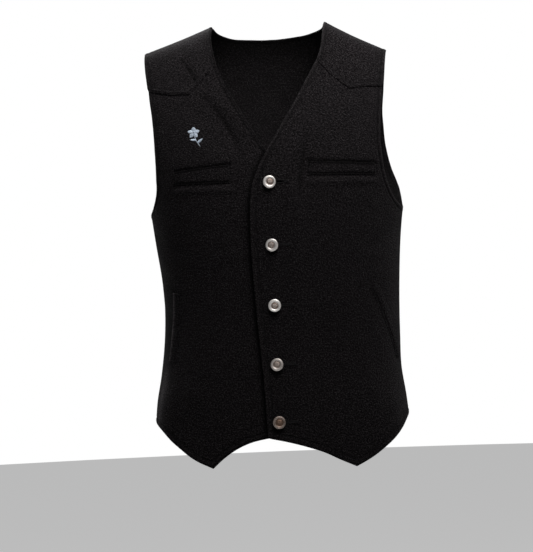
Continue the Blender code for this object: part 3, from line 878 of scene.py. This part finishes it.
def thread(name, colour, roughness, sheen):
    """Sewing thread: a fine twist along it in the bump, and a slight change of tone."""
    f = Finish(name, colour, roughness, **{
        "Sheen Weight": sheen, "Sheen Roughness": 0.3, "Specular IOR Level": 0.12,
    })
    place = f.add("TexCoord", {}, output="Object")
    tone = f.between(f.noise(place, 900.0), 0.3, 0.7, 0.75, 1.25)
    f.set(**{"Base Color": f.scaled(colour, tone)})
    f.raised(f.noise(place, 5000.0, 1.0), 0.0001, 0.5)
    return f.material


def old_nickel(name):
    """Worn nickel plate: bright where it is high, brown in the hollows, with fine scratches."""
    f = Finish(name, (0.6, 0.56, 0.5), 0.3, Metallic=1.0)
    place = f.add("TexCoord", {}, output="Object")
    spots = f.between(f.noise(place, 700.0, 4.0, 0.65), 0.42, 0.66)
    share = f.between(f.sum(f.mark("patina"), f.product(spots, 0.25)), 0.05, 1.0)
    f.set(**{
        "Base Color": f.mix(share, (0.60, 0.58, 0.56), (0.10, 0.065, 0.048)),
        "Roughness": f.between(share, 0.0, 1.0, 0.50, 0.58),
    })
    f.raised(f.noise(place, 1600.0, 3.0), 0.00006, 0.5)
    return f.material


HEATHER = (0.062, 0.056, 0.059)
WOOL = wool("charcoal_wool", (0.0026, 0.0021, 0.0024), HEATHER, 0.13, 0.05)
REVERSE = wool("charcoal_wool_reverse", (0.0050, 0.0045, 0.0048), HEATHER, 0.10, 0.05)
BLACK_THREAD = thread("black_thread", (0.0045, 0.0040, 0.0045), 0.8, 0.02)
PALE_THREAD = thread("pale_blue_thread", (0.44, 0.50, 0.58), 0.5, 0.2)
NICKEL = old_nickel("worn_nickel")


# The pieces

def front_grid(rows, marks=()):
    """A front from shoulder to hem as a grid (row, column, angle and level)."""
    half_in, half_out = stations(105, start=12), stations(105, end=12)
    u = np.concatenate([half_in / 2, 0.5 + half_out[1:] / 2])
    v_yoke = stations(66, start=6, coarse=3.2)
    edge_length = travelled(on_cloth(run(rows["front_edge"], np.linspace(0, 1, 400))))[-1]
    v = stations(edge_length, end=12, marks=[mark * edge_length for mark in marks])
    turn = np.abs(v - ARMHOLE_SHARE).argmin()
    v[turn] = ARMHOLE_SHARE
    v_arm, v_side = v[:turn + 1] / ARMHOLE_SHARE, (v[turn:] - ARMHOLE_SHARE) / (1 - ARMHOLE_SHARE)
    yoke_line = join(run(rows["yoke_in"], half_in), run(rows["yoke_out"], half_out))
    upper = patch(
        run([rows["neck"][0], rows["arm_top"][0]], u), yoke_line,
        run(rows["neck"], v_yoke), run(rows["arm_top"], v_yoke), u, v_yoke,
    )
    lower = patch(
        yoke_line, join(run(rows["hem_in"], half_in), run(rows["hem_out"], half_out)),
        run(rows["front_edge"], v), join(run(rows["armhole"], v_arm), run(rows["side"], v_side)), u, v,
    )
    return np.vstack([upper, lower[1:]])


def yoke_grid(rows):
    half_in, half_out = stations(57, start=10, coarse=1.7), stations(52, end=10, coarse=1.7)
    u = np.concatenate([half_in / 2, 0.5 + half_out[1:] / 2])
    v = stations(70, start=6, end=10, coarse=1.7)
    return patch(
        run([rows["neck"][0], rows["arm_top"][0]], u),
        join(run(rows["yoke_in"], half_in), run(rows["yoke_out"], half_out)),
        run(rows["neck"], v), run(rows["arm_top"], v), u, v,
    )


def back_grid():
    shoulder, neck = stations(60, start=10, coarse=2.8), stations(170, coarse=2.8)
    far_shoulder = 1 - shoulder[::-1]
    first, middle, last = BACK_TOP
    u = np.concatenate([
        shoulder * first, first + neck[1:] * middle, first + middle + far_shoulder[1:] * last,
    ])
    v_arm, v_side = stations(270, start=9, coarse=3.0), stations(315, end=11, coarse=3.0)
    share = BACK_ARMHOLE_SHARE
    v = np.concatenate([v_arm * share, share + v_side[1:] * (1 - share)])
    top = join(
        run(BACK["shoulder_left"], shoulder), run(BACK["neck"], neck),
        run(BACK["shoulder_right"], far_shoulder),
    )
    sides = [
        join(run(BACK[f"armhole_{side}"], v_arm), run(BACK[f"side_{side}"], v_side))
        for side in ("left", "right")
    ]
    return patch(top, run(BACK["hem"], u), *sides, u, v)


def lap(x):
    """How far the left front stands out to clear the right front beneath it."""
    return (PANEL + LAP) * (1 - ease(*LAP_FADE, x))


def welt_corners(name):
    return [place_at(*corner) for corner in WELTS[name]]


def open_and_foot(name):
    """Ends of a welt's open edge and of its sewn foot: above and below on the chest, outer and
    inner at the side."""
    a, b, c, d = welt_corners(name)
    return ((a, c), (b, d)) if "chest" in name else ((c, d), (a, b))


def welt_grid(name):
    a, b, c, d = welt_corners(name)
    long_way = "chest" in name
    u = stations(98 if long_way else 22, start=3, end=3, coarse=1.2)[None, :, None]
    v = stations(22 if long_way else 108, start=3, end=3, coarse=1.2)[:, None, None]
    return (1 - u) * ((1 - v) * a + v * b) + u * ((1 - v) * c + v * d)


def beside_hole(drop, x, up):
    """The place (angle, level) x aside of the centre line, and up above a buttonhole's line."""
    level = float(level_of(drop))
    half_width = np.interp(level, LEVELS, MIRRORED[:, 3])
    return np.stack(np.broadcast_arrays(np.arcsin(x / half_width), level - up), -1)


class Panel:
    """A panel's own rows of stitches, and how far its outer face stands out at any place."""

    def __init__(self, side, rows):
        self.side, self.rows = side, rows
        self.welts = [name for name in WELTS if side in ("left", "right") and name.endswith(side)]

    def pressed_lines(self):
        """Lines (angle, level) of painted shade round a welt, along the lap's edge and under each
        buttonhole's slit: line, strength, width.
        """
        found = []
        for name in self.welts:
            opening, foot = open_and_foot(name)
            # Painted shade at the welt's open edge, foot and ends.
            strength, width, (degrees, down), at_foot, at_ends = WELT_SHADE[name]
            beyond = np.array([math.radians(degrees), down])
            found.append((between_points(*opening) + beyond, strength, width))
            found.append((between_points(*foot), at_foot, WELT_LINE))
            found += [(between_points(*ends), at_ends, WELT_LINE) for ends in zip(opening, foot)]
        if self.side == "right":
            # Painted shadow of the lap's edge, and painted shade under each buttonhole's slit.
            outside, *mark = LAP_SHADOW
            found.append((self.lap_line() - np.array([math.radians(outside), 0.0]), *mark))
            hole = np.array([HOLE_IN, HOLE_OUT])
            found += [(beside_hole(drop, hole, 0.0), *HOLE_SHADE) for drop, *_ in BUTTONS]
        return found

    def rubbed_lines(self):
        """Lines of painted highlight on a chest pocket's bulk and on the hip: line, strength, width."""
        found = []
        # Painted highlight on a chest pocket's bulk, where it catches light.
        below, *mark = BULK_HIGHLIGHT
        for name in self.welts:
            if "chest" in name:
                foot = between_points(*open_and_foot(name)[1])
                found.append((foot + np.array([0.0, below]), *mark))
        if self.side == "right":
            # Painted glow of light on the hip below the right side pocket.
            top, bottom, *mark = HIP_GLOW
            found.append((between_points(place_at(*top), place_at(*bottom)), *mark))
        return found

    def lap_line(self):
        """The edge of the left front from the point of the V down."""
        line = line_of(LEFT["front_edge"])
        return line[drop_of(line[:, 1]) > LAP_STARTS][::2]

    def base(self, place):
        """The inner face's height over the form: the creases, and the left front's lap, whose edge
        curls out a little."""
        angle, level = np.moveaxis(place, -1, 0)
        high = bells(CREASES, angle, drop_of(level))
        if self.side == "left":
            start, over = LAP_RISE
            crossing = np.clip((level - level_of(start)) / over, 0, 1)
            high = high + lap(body(angle, level)[..., 0]) * crossing
            high = high + LAP_CURL * near_line(on_cloth(place), self.lap_line(), LAP_CURL_WIDE)
        return high

    def wall(self, place):
        """The thickness: drawn in at stitches and seams, grooved round welts, padded under the chest
        welts by their pockets, and hollow behind buttons."""
        angle, level = np.moveaxis(place, -1, 0)
        points = on_cloth(place)
        change = sum(row.relief(points) for row in self.rows)
        for name in self.welts:
            opening, foot = open_and_foot(name)
            for ends, deep, wide in zip((opening, foot), WELT_EDGES[name], WELT_GROOVES):
                change = change + deep * near_line(points, between_points(*ends), wide)
            for ends in zip(opening, foot):
                change = change + END_GROOVE * near_line(points, between_points(*ends), WELT_GROOVES[2])
            if "chest" in name:
                below, high, wide = BULK
                line = between_points(*foot) + np.array([0.0, below])
                change = change + high * near_line(points, line, wide)
        if self.side == "left":
            x, z = points[..., 0], points[..., 2]
            deep, wide = BUTTON_HOLLOW
            reach, high, beside_slit, narrow = HOLE_LIPS
            for drop, *_ in BUTTONS:
                seat = body(0.0, level_of(drop))[2]
                off = np.hypot(np.maximum(np.abs(x - HOLE_MIDDLE) - reach, 0), z - seat)
                change = change - deep * hump(np.hypot(x, z - seat), wide)
                change = change + high * hump(off - beside_slit, narrow)
        if self.side == "right":
            edge = np.array(LEFT["front_edge"])
            per_degree, start, end = UNDER_LAP
            under = (np.degrees(angle) - np.interp(drop_of(level), edge[:, 1], edge[:, 0])) * per_degree
            change = change * (1 - ease(start, end, under))
        if self.side in ("left", "right"):
            change = change - PANEL_THINS * self.near_shoulder(place)
        return PANEL + change

    def near_shoulder(self, place):
        """1 at the shoulder seam, and 0 below it."""
        return 1 - ease(0.0, SEAM_FADE, place[..., 1])

    def height(self, place):
        return self.base(place) + self.wall(place)


class Yoke(Panel):
    """A yoke lies on its front, and thins into the shoulder seam."""

    def wall(self, place):
        points = on_cloth(place, PANEL + LIFT)
        change = sum(row.relief(points, puff=0.35, draw=0.45) for row in self.rows)
        return YOKE + change - YOKE_THINS * self.near_shoulder(place) - HEM_THINS * self.near_hem(place)

    def near_hem(self, place):
        """1 at the yoke's lower edge, and a bell across it."""
        return hump(beside(on_cloth(place, PANEL + LIFT), self.rows[-1].edge_place)[0], HEM_WIDE)

    def height(self, place):
        sunk = YOKE_SINKS * self.near_shoulder(place) + HEM_SINKS * self.near_hem(place)
        return self.base(place) + PANEL + LIFT - sunk + self.wall(place)


class Welt(Panel):
    """A welt lies on its front. Its open edge stands free and may curl out, and it thins to its foot,
    which is sewn down."""

    def __init__(self, name):
        a, b, c, d = welt_corners(name)
        _, _, self.curl, rub, self.pale, press, self.dark = WELT_EDGES[name]
        outline = join(*[between_points(*ends) for ends in ((a, c), (c, d), (d, b), (b, a))])
        super().__init__("welt", [Row(outline, WELT_ROW, (a + b + c + d) / 4, 1.3, rub=rub, press=press)])
        self.opening, self.foot = (between_points(*ends) for ends in open_and_foot(name))

    # Painted shade along the open edge.
    def pressed_lines(self):
        return [(self.opening, self.dark, WELT_EDGE_DARK)]

    # A painted highlight along the open edge.
    def rubbed_lines(self):
        return [(self.opening, self.pale, WELT_EDGE_PALE)]

    def wall(self, place):
        points = on_cloth(place, PANEL + LIFT)
        change = sum(row.relief(points, puff=0.35, draw=0.4, pucker=0.12) for row in self.rows)
        return WELT + change - FOOT_THINS * near_line(points, self.foot, FOOT_WIDE)

    def height(self, place):
        points = on_cloth(place, PANEL + LIFT)
        curled = self.curl * near_line(points, self.opening, WELT_CURL_WIDE)
        sunk = FOOT_SINKS * near_line(points, self.foot, FOOT_WIDE)
        return self.base(place) + PANEL + LIFT + curled - sunk + self.wall(place)


def wear_and_light_of(panel, place):
    """The pale and the dark grid of a panel: worn nap and painted highlights, and pressed nap and
    painted shade, from its rows, from its lines of painted shade and painted highlight, and from its
    sharp creases, whose hollows get painted shade."""
    points = on_cloth(place)
    rubbed, pressed = np.sum([row.wear_and_light(points) for row in panel.rows], axis=0)
    for line, strength, width in panel.pressed_lines():
        pressed = pressed + strength * near_line(points, line, width)
    for line, strength, width in panel.rubbed_lines():
        rubbed = rubbed + strength * near_line(points, line, width)
    # Painted shade in the hollows of sharp creases.
    strength, width = CREASE_SHADE
    sharp = [(*row[:4], width, strength, row[6]) for row in CREASES if row[4] < SHARP]
    pressed = pressed + bells(sharp, place[..., 0], drop_of(place[..., 1]))
    return np.maximum(rubbed, 0), np.clip(pressed, 0, 1)


def buttonhole_slits(place):
    """Moves the grid's nearest row onto each buttonhole's line, and says where the row opens:
    (row, first column, last column, half gap at each column)."""
    slits = []
    for drop, gape, *_ in BUTTONS:
        goal = body(0.0, level_of(drop))[2]
        point = on_cloth(place, 0.0)
        middle = np.abs(point[len(point) // 2, :, 0] - HOLE_MIDDLE).argmin()
        row = np.abs(point[:, middle, 2] - goal).argmin()
        rows_near = hump(np.arange(len(place)) - row, 5.0)[:, None]
        for _ in range(3):
            x, z = on_cloth(place[row], 0.0)[:, ::2].T
            near = ease(HOLE_IN - 14, HOLE_IN - 1, x) * (1 - ease(HOLE_OUT + 1, HOLE_OUT + 14, x))
            place[..., 1] += rows_near * near * (z - goal)
        x = on_cloth(place[row], 0.0)[:, 0]
        inside = np.flatnonzero((x > HOLE_IN - 0.6) & (x < HOLE_OUT + 0.4))
        slits.append((row, inside[0], inside[-1], half_gap(x, gape)))
    return slits


def half_gap(x, gape):
    """Half the opening of a buttonhole at x: a bell round the shank, then a wedge that is widest
    beside the head, t^0.7 (1 - t)^1.1 at the share t of its length."""
    t = np.clip((x - HOLE_IN) / (HOLE_OUT - HOLE_IN), 0, 1)
    wedge = t**0.7 * (1 - t) ** 1.1 / 0.30
    at_shank, wide = SHANK_HOLE
    return np.maximum(at_shank * hump(x, wide), gape / 2 * wedge) * np.clip(wedge * 2, 0, 1)


def share_of_drop(rows, drop):
    """How far down a run of an outline, as a share of its length, a drop is reached."""
    line = run(rows, np.linspace(0, 1, 600))
    return float(np.interp(drop, drop_of(line[:, 1]), np.linspace(0, 1, 600)))


def sewn_piece(name, panel, place, slits=(), side=0, rim=RIM):
    """A panel's cloth as a closed shell, and its topstitching as one mesh of threads."""
    cloth = shell(
        name + "_cloth", place, panel.height(place), panel.wall(place), wear_and_light_of(panel, place),
        slits, side, rim,
    )
    points, faces = merge([topstitch(row, panel) for row in panel.rows])
    points = points + np.array([0.0, side * SEAM / 2, 0.0])
    return cloth, make(name + "_topstitching", points, faces, [BLACK_THREAD])


def on_sprig(a, b):
    """The place (angle, level) that is a millimetres to the side of the sprig's middle and b up."""
    angle, level = place_at(*SPRIG)
    by_angle = np.linalg.norm(slopes(angle, level)[0])
    return np.stack([angle + a / by_angle, level - b], -1)


def sewn(panel, place, lift, radius):
    """Threads over a panel's outer face, whose points stand out from it by lift."""
    lines, facing = laid(place, panel.height(place) + lift)
    return threads(lines, facing, radius, 5)


def satin(panel, foot, turn, start, end, half_width, shape):
    """Satin stitch that fills a petal or a leaf: threads side by side along it, each across its
    width, w sin(pi t^shape)^0.75 at the share t, and padded up in the middle."""
    along = np.arange(start, end, 0.42)
    t = (along - start) / (end - start)
    width = half_width * np.sin(np.pi * np.clip(t * 0.95 + 0.03, 0, 1) ** shape) ** 0.75
    across = np.linspace(-1, 1, 6) * width[:, None]
    down = along[:, None] - 0.2 * np.abs(across)
    a = foot[0] + down * math.cos(turn) - across * math.sin(turn)
    b = foot[1] + down * math.sin(turn) + across * math.cos(turn)
    lift = 0.12 + 0.5 * np.clip(1 - (across / np.maximum(width[:, None], 0.1)) ** 2, 0, 1)
    lift[:, [0, -1]] = -0.3
    return sewn(panel, on_sprig(a, b), lift, 0.26)


def sprig(panel):
    """A flower of five rounded petals round a knot, on a curved stem with two leaves."""
    pieces = [
        satin(panel, BLOOM, math.radians(84.0 + 360.0 * k / PETALS), *PETAL, 1.25) for k in range(PETALS)
    ]
    pieces += [
        satin(panel, (x, z), math.radians(way), 0.0, long, LEAF_HALF_WIDTH, 0.8)
        for x, z, way, long in LEAVES
    ]
    rows = np.array(STEM)
    s = travelled(rows)
    path = smooth(s, rows, np.linspace(0, s[-1], 26))
    way = unit(np.gradient(path, axis=0))
    side = np.stack([-way[:, 1], way[:, 0]], -1)
    reach = np.array([-1.0, -0.6, 0.0, 0.6, 1.0])
    slanted = path[:, None] + reach[:, None] * (0.55 * side[:, None] + 0.9 * way[:, None])
    lift = np.array([-0.3, 0.2, 0.4, 0.2, -0.3])
    pieces.append(sewn(panel, on_sprig(slanted[..., 0], slanted[..., 1]), lift, 0.27))
    swirl = np.linspace(0, 1, 9)
    turn = 2 * np.pi * np.arange(9)[:, None] / 9 + 1.5 * swirl
    radius = 1.7 - 0.8 * swirl
    knot = on_sprig(BLOOM[0] + radius * np.cos(turn), BLOOM[1] + radius * np.sin(turn))
    pieces.append(sewn(panel, knot, 0.4 + 0.5 * swirl, 0.3))
    return make("chest_sprig_stitching", *merge(pieces), [PALE_THREAD])


def buttonhole_threads(panel):
    """Buttonhole stitch: threads side by side over both lips of each slit, and a bar across its
    far end. A thread comes up out of the slit, lies over the lip and goes down into the cloth."""
    pieces = []
    x = np.arange(HOLE_IN + 0.4, HOLE_OUT - 0.2, 0.72)
    reach = np.array([-0.25, 0.05, 0.7, 1.5, 2.1])
    lift = np.array([-1.3, 0.05, 0.28, 0.22, -0.5])
    bar = HOLE_OUT + np.arange(-0.2, 1.8, 0.55)
    bar_reach = np.array([-2.6, -2.1, 0.0, 2.1, 2.6])
    bar_lift = np.array([-0.5, 0.35, 0.6, 0.35, -0.5])
    for drop, gape, *_ in BUTTONS:
        for lip in (1, -1):
            up = lip * (half_gap(x, gape)[:, None] + reach)
            pieces.append(sewn(panel, beside_hole(drop, x[:, None], up), lift, 0.34))
        pieces.append(sewn(panel, beside_hole(drop, bar[:, None], bar_reach), bar_lift, 0.36))
    return make("buttonhole_stitching", *merge(pieces), [BLACK_THREAD])


def button(number, drop, aside, up, tarnish, hollow, off):
    """A turned head with its shank: the profile is carried round its axis, which tips aside and up.
    A low rosette of eight petals and a ring of beads are raised in the sunken middle, which sits a
    little off the axis."""
    rows = np.array(BUTTON_PROFILE)
    head = rows[:HEAD_ROWS]
    s = travelled(head)
    fine = smooth(s, head, np.linspace(0, s[-1], 44))[1:]
    under = np.linspace(rows[HEAD_ROWS - 1], rows[HEAD_ROWS], 4)[1:]
    r, h = np.vstack([fine, under, rows[-2:-1]]).T[..., None]
    rings, segments = len(r), 96
    top = (np.arange(rings) < FACE_RINGS)[:, None]
    turn = 2 * np.pi * np.arange(segments) / segments
    petal = (0.5 + 0.5 * np.cos(8 * turn)) ** 0.7 * hump(r - 2.2, 1.2)
    beads = (0.5 + 0.5 * np.cos(24 * turn)) * hump(r - 4.3, 0.4)
    knob = hump(r, 0.8)
    high = h + top * (0.34 * petal + 0.3 * beads + 0.3 * knob - 0.15 * (r < 5))
    raised = np.maximum(np.maximum(petal, beads), knob)
    patina = top * ease(6.2, 4.6, r) * hollow * (1 - 0.6 * raised)
    patina = np.clip(patina * (1 - 0.4 * tarnish) + tarnish * (1 - 0.1 * ease(5.0, 7.5, r)), 0, 1)
    upright = np.array([0.0, 0.0, 1.0])
    centre, facing = form(0.0, float(level_of(drop)))
    centre = centre + facing * (PANEL + LAP + PANEL + BUTTON_LIFT) - np.array([0.0, 0.2, 0.0])
    across = unit(np.cross(upright, facing))
    facing = unit(
        facing + math.tan(math.radians(aside)) * across + math.tan(math.radians(up)) * upright
    )
    across = unit(across - (across @ facing) * facing)
    rise = np.cross(facing, across)
    shift = top * ease(8.8, 4.5, r)
    points = centre + (
        (r * np.cos(turn) + off[0] * shift)[..., None] * across
        + (r * np.sin(turn) + off[1] * shift)[..., None] * rise
        + high[..., None] * facing
    )
    index = np.arange(rings * segments).reshape(rings, segments)
    count = index.size
    tip = centre + facing * (high[0].mean() + 0.02) + off[0] * across + off[1] * rise
    foot = centre + facing * rows[-1, 1]
    caps = [[count, index[0, i], index[0, (i + 1) % segments]] for i in range(segments)]
    caps += [[count + 1, index[-1, (i + 1) % segments], index[-1, i]] for i in range(segments)]
    return make(
        f"button_head_{number}", np.vstack([points.reshape(-1, 3), tip, foot]), ring_faces(index) + caps,
        [NICKEL], marks={"patina": np.concatenate([patina.ravel(), [0.2, 0.0]])},
    )


# The vest

FRONT_RUNS = ("front_edge", "hem_in", "hem_out")
YOKE_RUNS = ("yoke_in", "yoke_out")
# In these rows, rub is worn nap and a painted highlight where an edge catches light, press is pressed nap
# and painted shade along the stitches, and dark is painted shade along the edge itself.
left_front = Panel("left", rows_of(
    LEFT, place_at(35.0, 380.0),
    (FRONT_RUNS, FRONT_ROW, 0.4, {"rub": 0.5}),
    (["armhole"], ARM_ROW, 1.7, {"rub": 0.3}),
))
right_front = Panel("right", rows_of(
    RIGHT, place_at(-38.0, 380.0),
    (FRONT_RUNS, FRONT_ROW, 2.6, {"rub": 0.0, "press": 0.9, "dark": 0.9}),
    (["armhole"], ARM_ROW, 3.8, {"rub": 0.2}),
))
left_yoke = Yoke("yoke", rows_of(
    LEFT, place_at(35.0, 42.0),
    (["neck"], NECK_ROW, 0.9, {"rub": 0.4, "press": 0.9}),
    (["arm_top"], ARM_ROW, 2.2, {}),
    (YOKE_RUNS, YOKE_ROW, 4.1, {"rub": 0.6, "press": 0.4, "rub_at": 3.5}),
))
right_yoke = Yoke("yoke", rows_of(
    RIGHT, place_at(-36.0, 42.0),
    (["neck"], NECK_ROW, 1.2, {"rub": 0.0, "press": 0.9, "dark": 0.9}),
    (["arm_top"], ARM_ROW, 3.1, {}),
    (YOKE_RUNS, YOKE_ROW, 5.0, {"rub": 1.0, "press": 0.25, "rub_at": 5.6}),
))
back = Panel("back", rows_of(
    BACK, place_at(180.0, 320.0),
    (["neck"], NECK_ROW, 0.7, {}),
    (["armhole_left"], ARM_ROW, 2.0, {}),
    (["armhole_right"], ARM_ROW, 2.9, {}),
    (["hem"], HEM_ROW, 4.4, {}),
))

left_grid = front_grid(LEFT, [share_of_drop(LEFT["front_edge"], drop) for drop, *_ in BUTTONS])
slits = buttonhole_slits(left_grid)
cloths = {
    "front_left": sewn_piece("front_left", left_front, left_grid, slits, side=-1),
    "front_right": sewn_piece("front_right", right_front, front_grid(RIGHT), side=-1),
    "back": sewn_piece("back", back, back_grid(), side=1),
    "yoke_left": sewn_piece("yoke_left", left_yoke, yoke_grid(LEFT), side=-1, rim=YOKE_RIM),
    "yoke_right": sewn_piece("yoke_right", right_yoke, yoke_grid(RIGHT), side=-1, rim=YOKE_RIM),
}
for name in WELTS:
    cloths[name] = sewn_piece(name, Welt(name), welt_grid(name), rim=WELT_RIM)
sewn_on = {"front_left": [buttonhole_threads(left_front)], "front_right": [sprig(right_front)]}
heads = [button(number, drop, *look) for number, (drop, _, *look) in enumerate(BUTTONS, start=1)]

for name, (cloth, stitches) in cloths.items():
    with_cloth = [stitches, *sewn_on.get(name, [])]
    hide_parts(name)
    for piece in [cloth, *with_cloth]:
        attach(piece, "root")
for number, head in enumerate(heads, start=1):
    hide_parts(f"button_{number}")
    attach(head, "root")


# Floor, light and camera

def studio():
    """A pale round floor at the height where the wearer stands, white all round, and soft lamps."""
    turn = 2 * np.pi * np.arange(96) / 96
    ring = np.stack([9.0 * np.cos(turn), 9.0 * np.sin(turn), np.full(96, -1.46)], -1)
    mesh = bpy.data.meshes.new("floor")
    mesh.from_pydata(ring.tolist(), [], [list(range(96))])
    pale = Finish("pale_floor", (0.86, 0.86, 0.86), 0.8, **{
        "Emission Color": (1.0, 1.0, 1.0, 1.0), "Emission Strength": 0.45, "Specular IOR Level": 0.0,
    })
    mesh.materials.append(pale.material)
    floor = bpy.data.objects.new("floor", mesh)
    bpy.context.scene.collection.objects.link(floor)
    floor.visible_diffuse = False  # it throws no light up at the hem

    world = bpy.data.worlds.new("white_studio")
    bpy.context.scene.world = world
    world.use_nodes = True
    tree = world.node_tree
    last = tree.nodes["Background"]
    last.inputs["Color"].default_value = (1.0, 1.0, 1.0, 1.0)
    path = tree.nodes.new("ShaderNodeLightPath")
    for ray, colour, strength in (
        ("Is Glossy Ray", (0.98, 0.98, 1.0, 1.0), 0.20), ("Is Diffuse Ray", (0.97, 0.98, 1.0, 1.0), 0.045),
    ):
        cast = tree.nodes.new("ShaderNodeBackground")
        cast.inputs["Color"].default_value = colour
        cast.inputs["Strength"].default_value = strength
        mixed = tree.nodes.new("ShaderNodeMixShader")
        tree.links.new(path.outputs[ray], mixed.inputs["Fac"])
        tree.links.new(last.outputs[0], mixed.inputs[1])
        tree.links.new(cast.outputs[0], mixed.inputs[2])
        last = mixed
    tree.links.new(last.outputs[0], tree.nodes["World Output"].inputs["Surface"])

    aim = Vector((0.0, 0.0, -0.33))
    lamps = [  # name, place, size, watts, colour
        ("key", (0.30, -0.60, 0.72), 0.62, 20.0, (1.0, 0.985, 0.97)),
        ("fill", (-0.4, -1.7, 1.4), 1.6, 5.5, (0.97, 0.98, 1.0)),
        ("rim_left", (-1.9, 1.4, -0.5), 1.5, 18.0, (1.0, 1.0, 1.0)),
        ("rim_right", (1.9, 1.4, -0.5), 1.5, 7.0, (1.0, 1.0, 1.0)),
        ("behind", (-0.3, 0.75, 0.7), 0.6, 23.0, (1.0, 1.0, 1.0)),
    ]
    for name, place, size, watts, colour in lamps:
        lamp = bpy.data.lights.new(name, "AREA")
        lamp.shape = "DISK"
        lamp.size = size
        lamp.energy = watts
        lamp.color = colour
        made = bpy.data.objects.new(name, lamp)
        made.location = place
        made.rotation_euler = (aim - Vector(place)).to_track_quat("-Z", "Y").to_euler()
        bpy.context.scene.collection.objects.link(made)


def photo_camera():
    """The camera at the photo's place, level and then tipped. The picture has its longer side on
    the sensor."""
    lens = bpy.data.cameras.new("photo_camera")
    lens.sensor_fit = "AUTO"
    lens.sensor_width = SENSOR
    lens.lens = FOCAL_PIXELS * SENSOR / PICTURE_PIXELS
    lens.clip_start, lens.clip_end = 0.05, 60.0
    camera = bpy.data.objects.new("photo_camera", lens)
    turn, tip = math.radians(CAMERA_ROUND), math.radians(CAMERA_TIP)
    back_way = Vector((math.sin(turn), -math.cos(turn), 0.0))
    level = (-back_way).to_track_quat("-Z", "Y").to_matrix().to_4x4()
    place = Vector(CAMERA_AIM) * MM + back_way * CAMERA_FAR
    camera.matrix_world = Matrix.Translation(place) @ level @ Matrix.Rotation(-tip, 4, "Z")
    bpy.context.scene.collection.objects.link(camera)
    bpy.context.scene.camera = camera


studio()
photo_camera()
bpy.context.scene.view_settings.view_transform = "Standard"
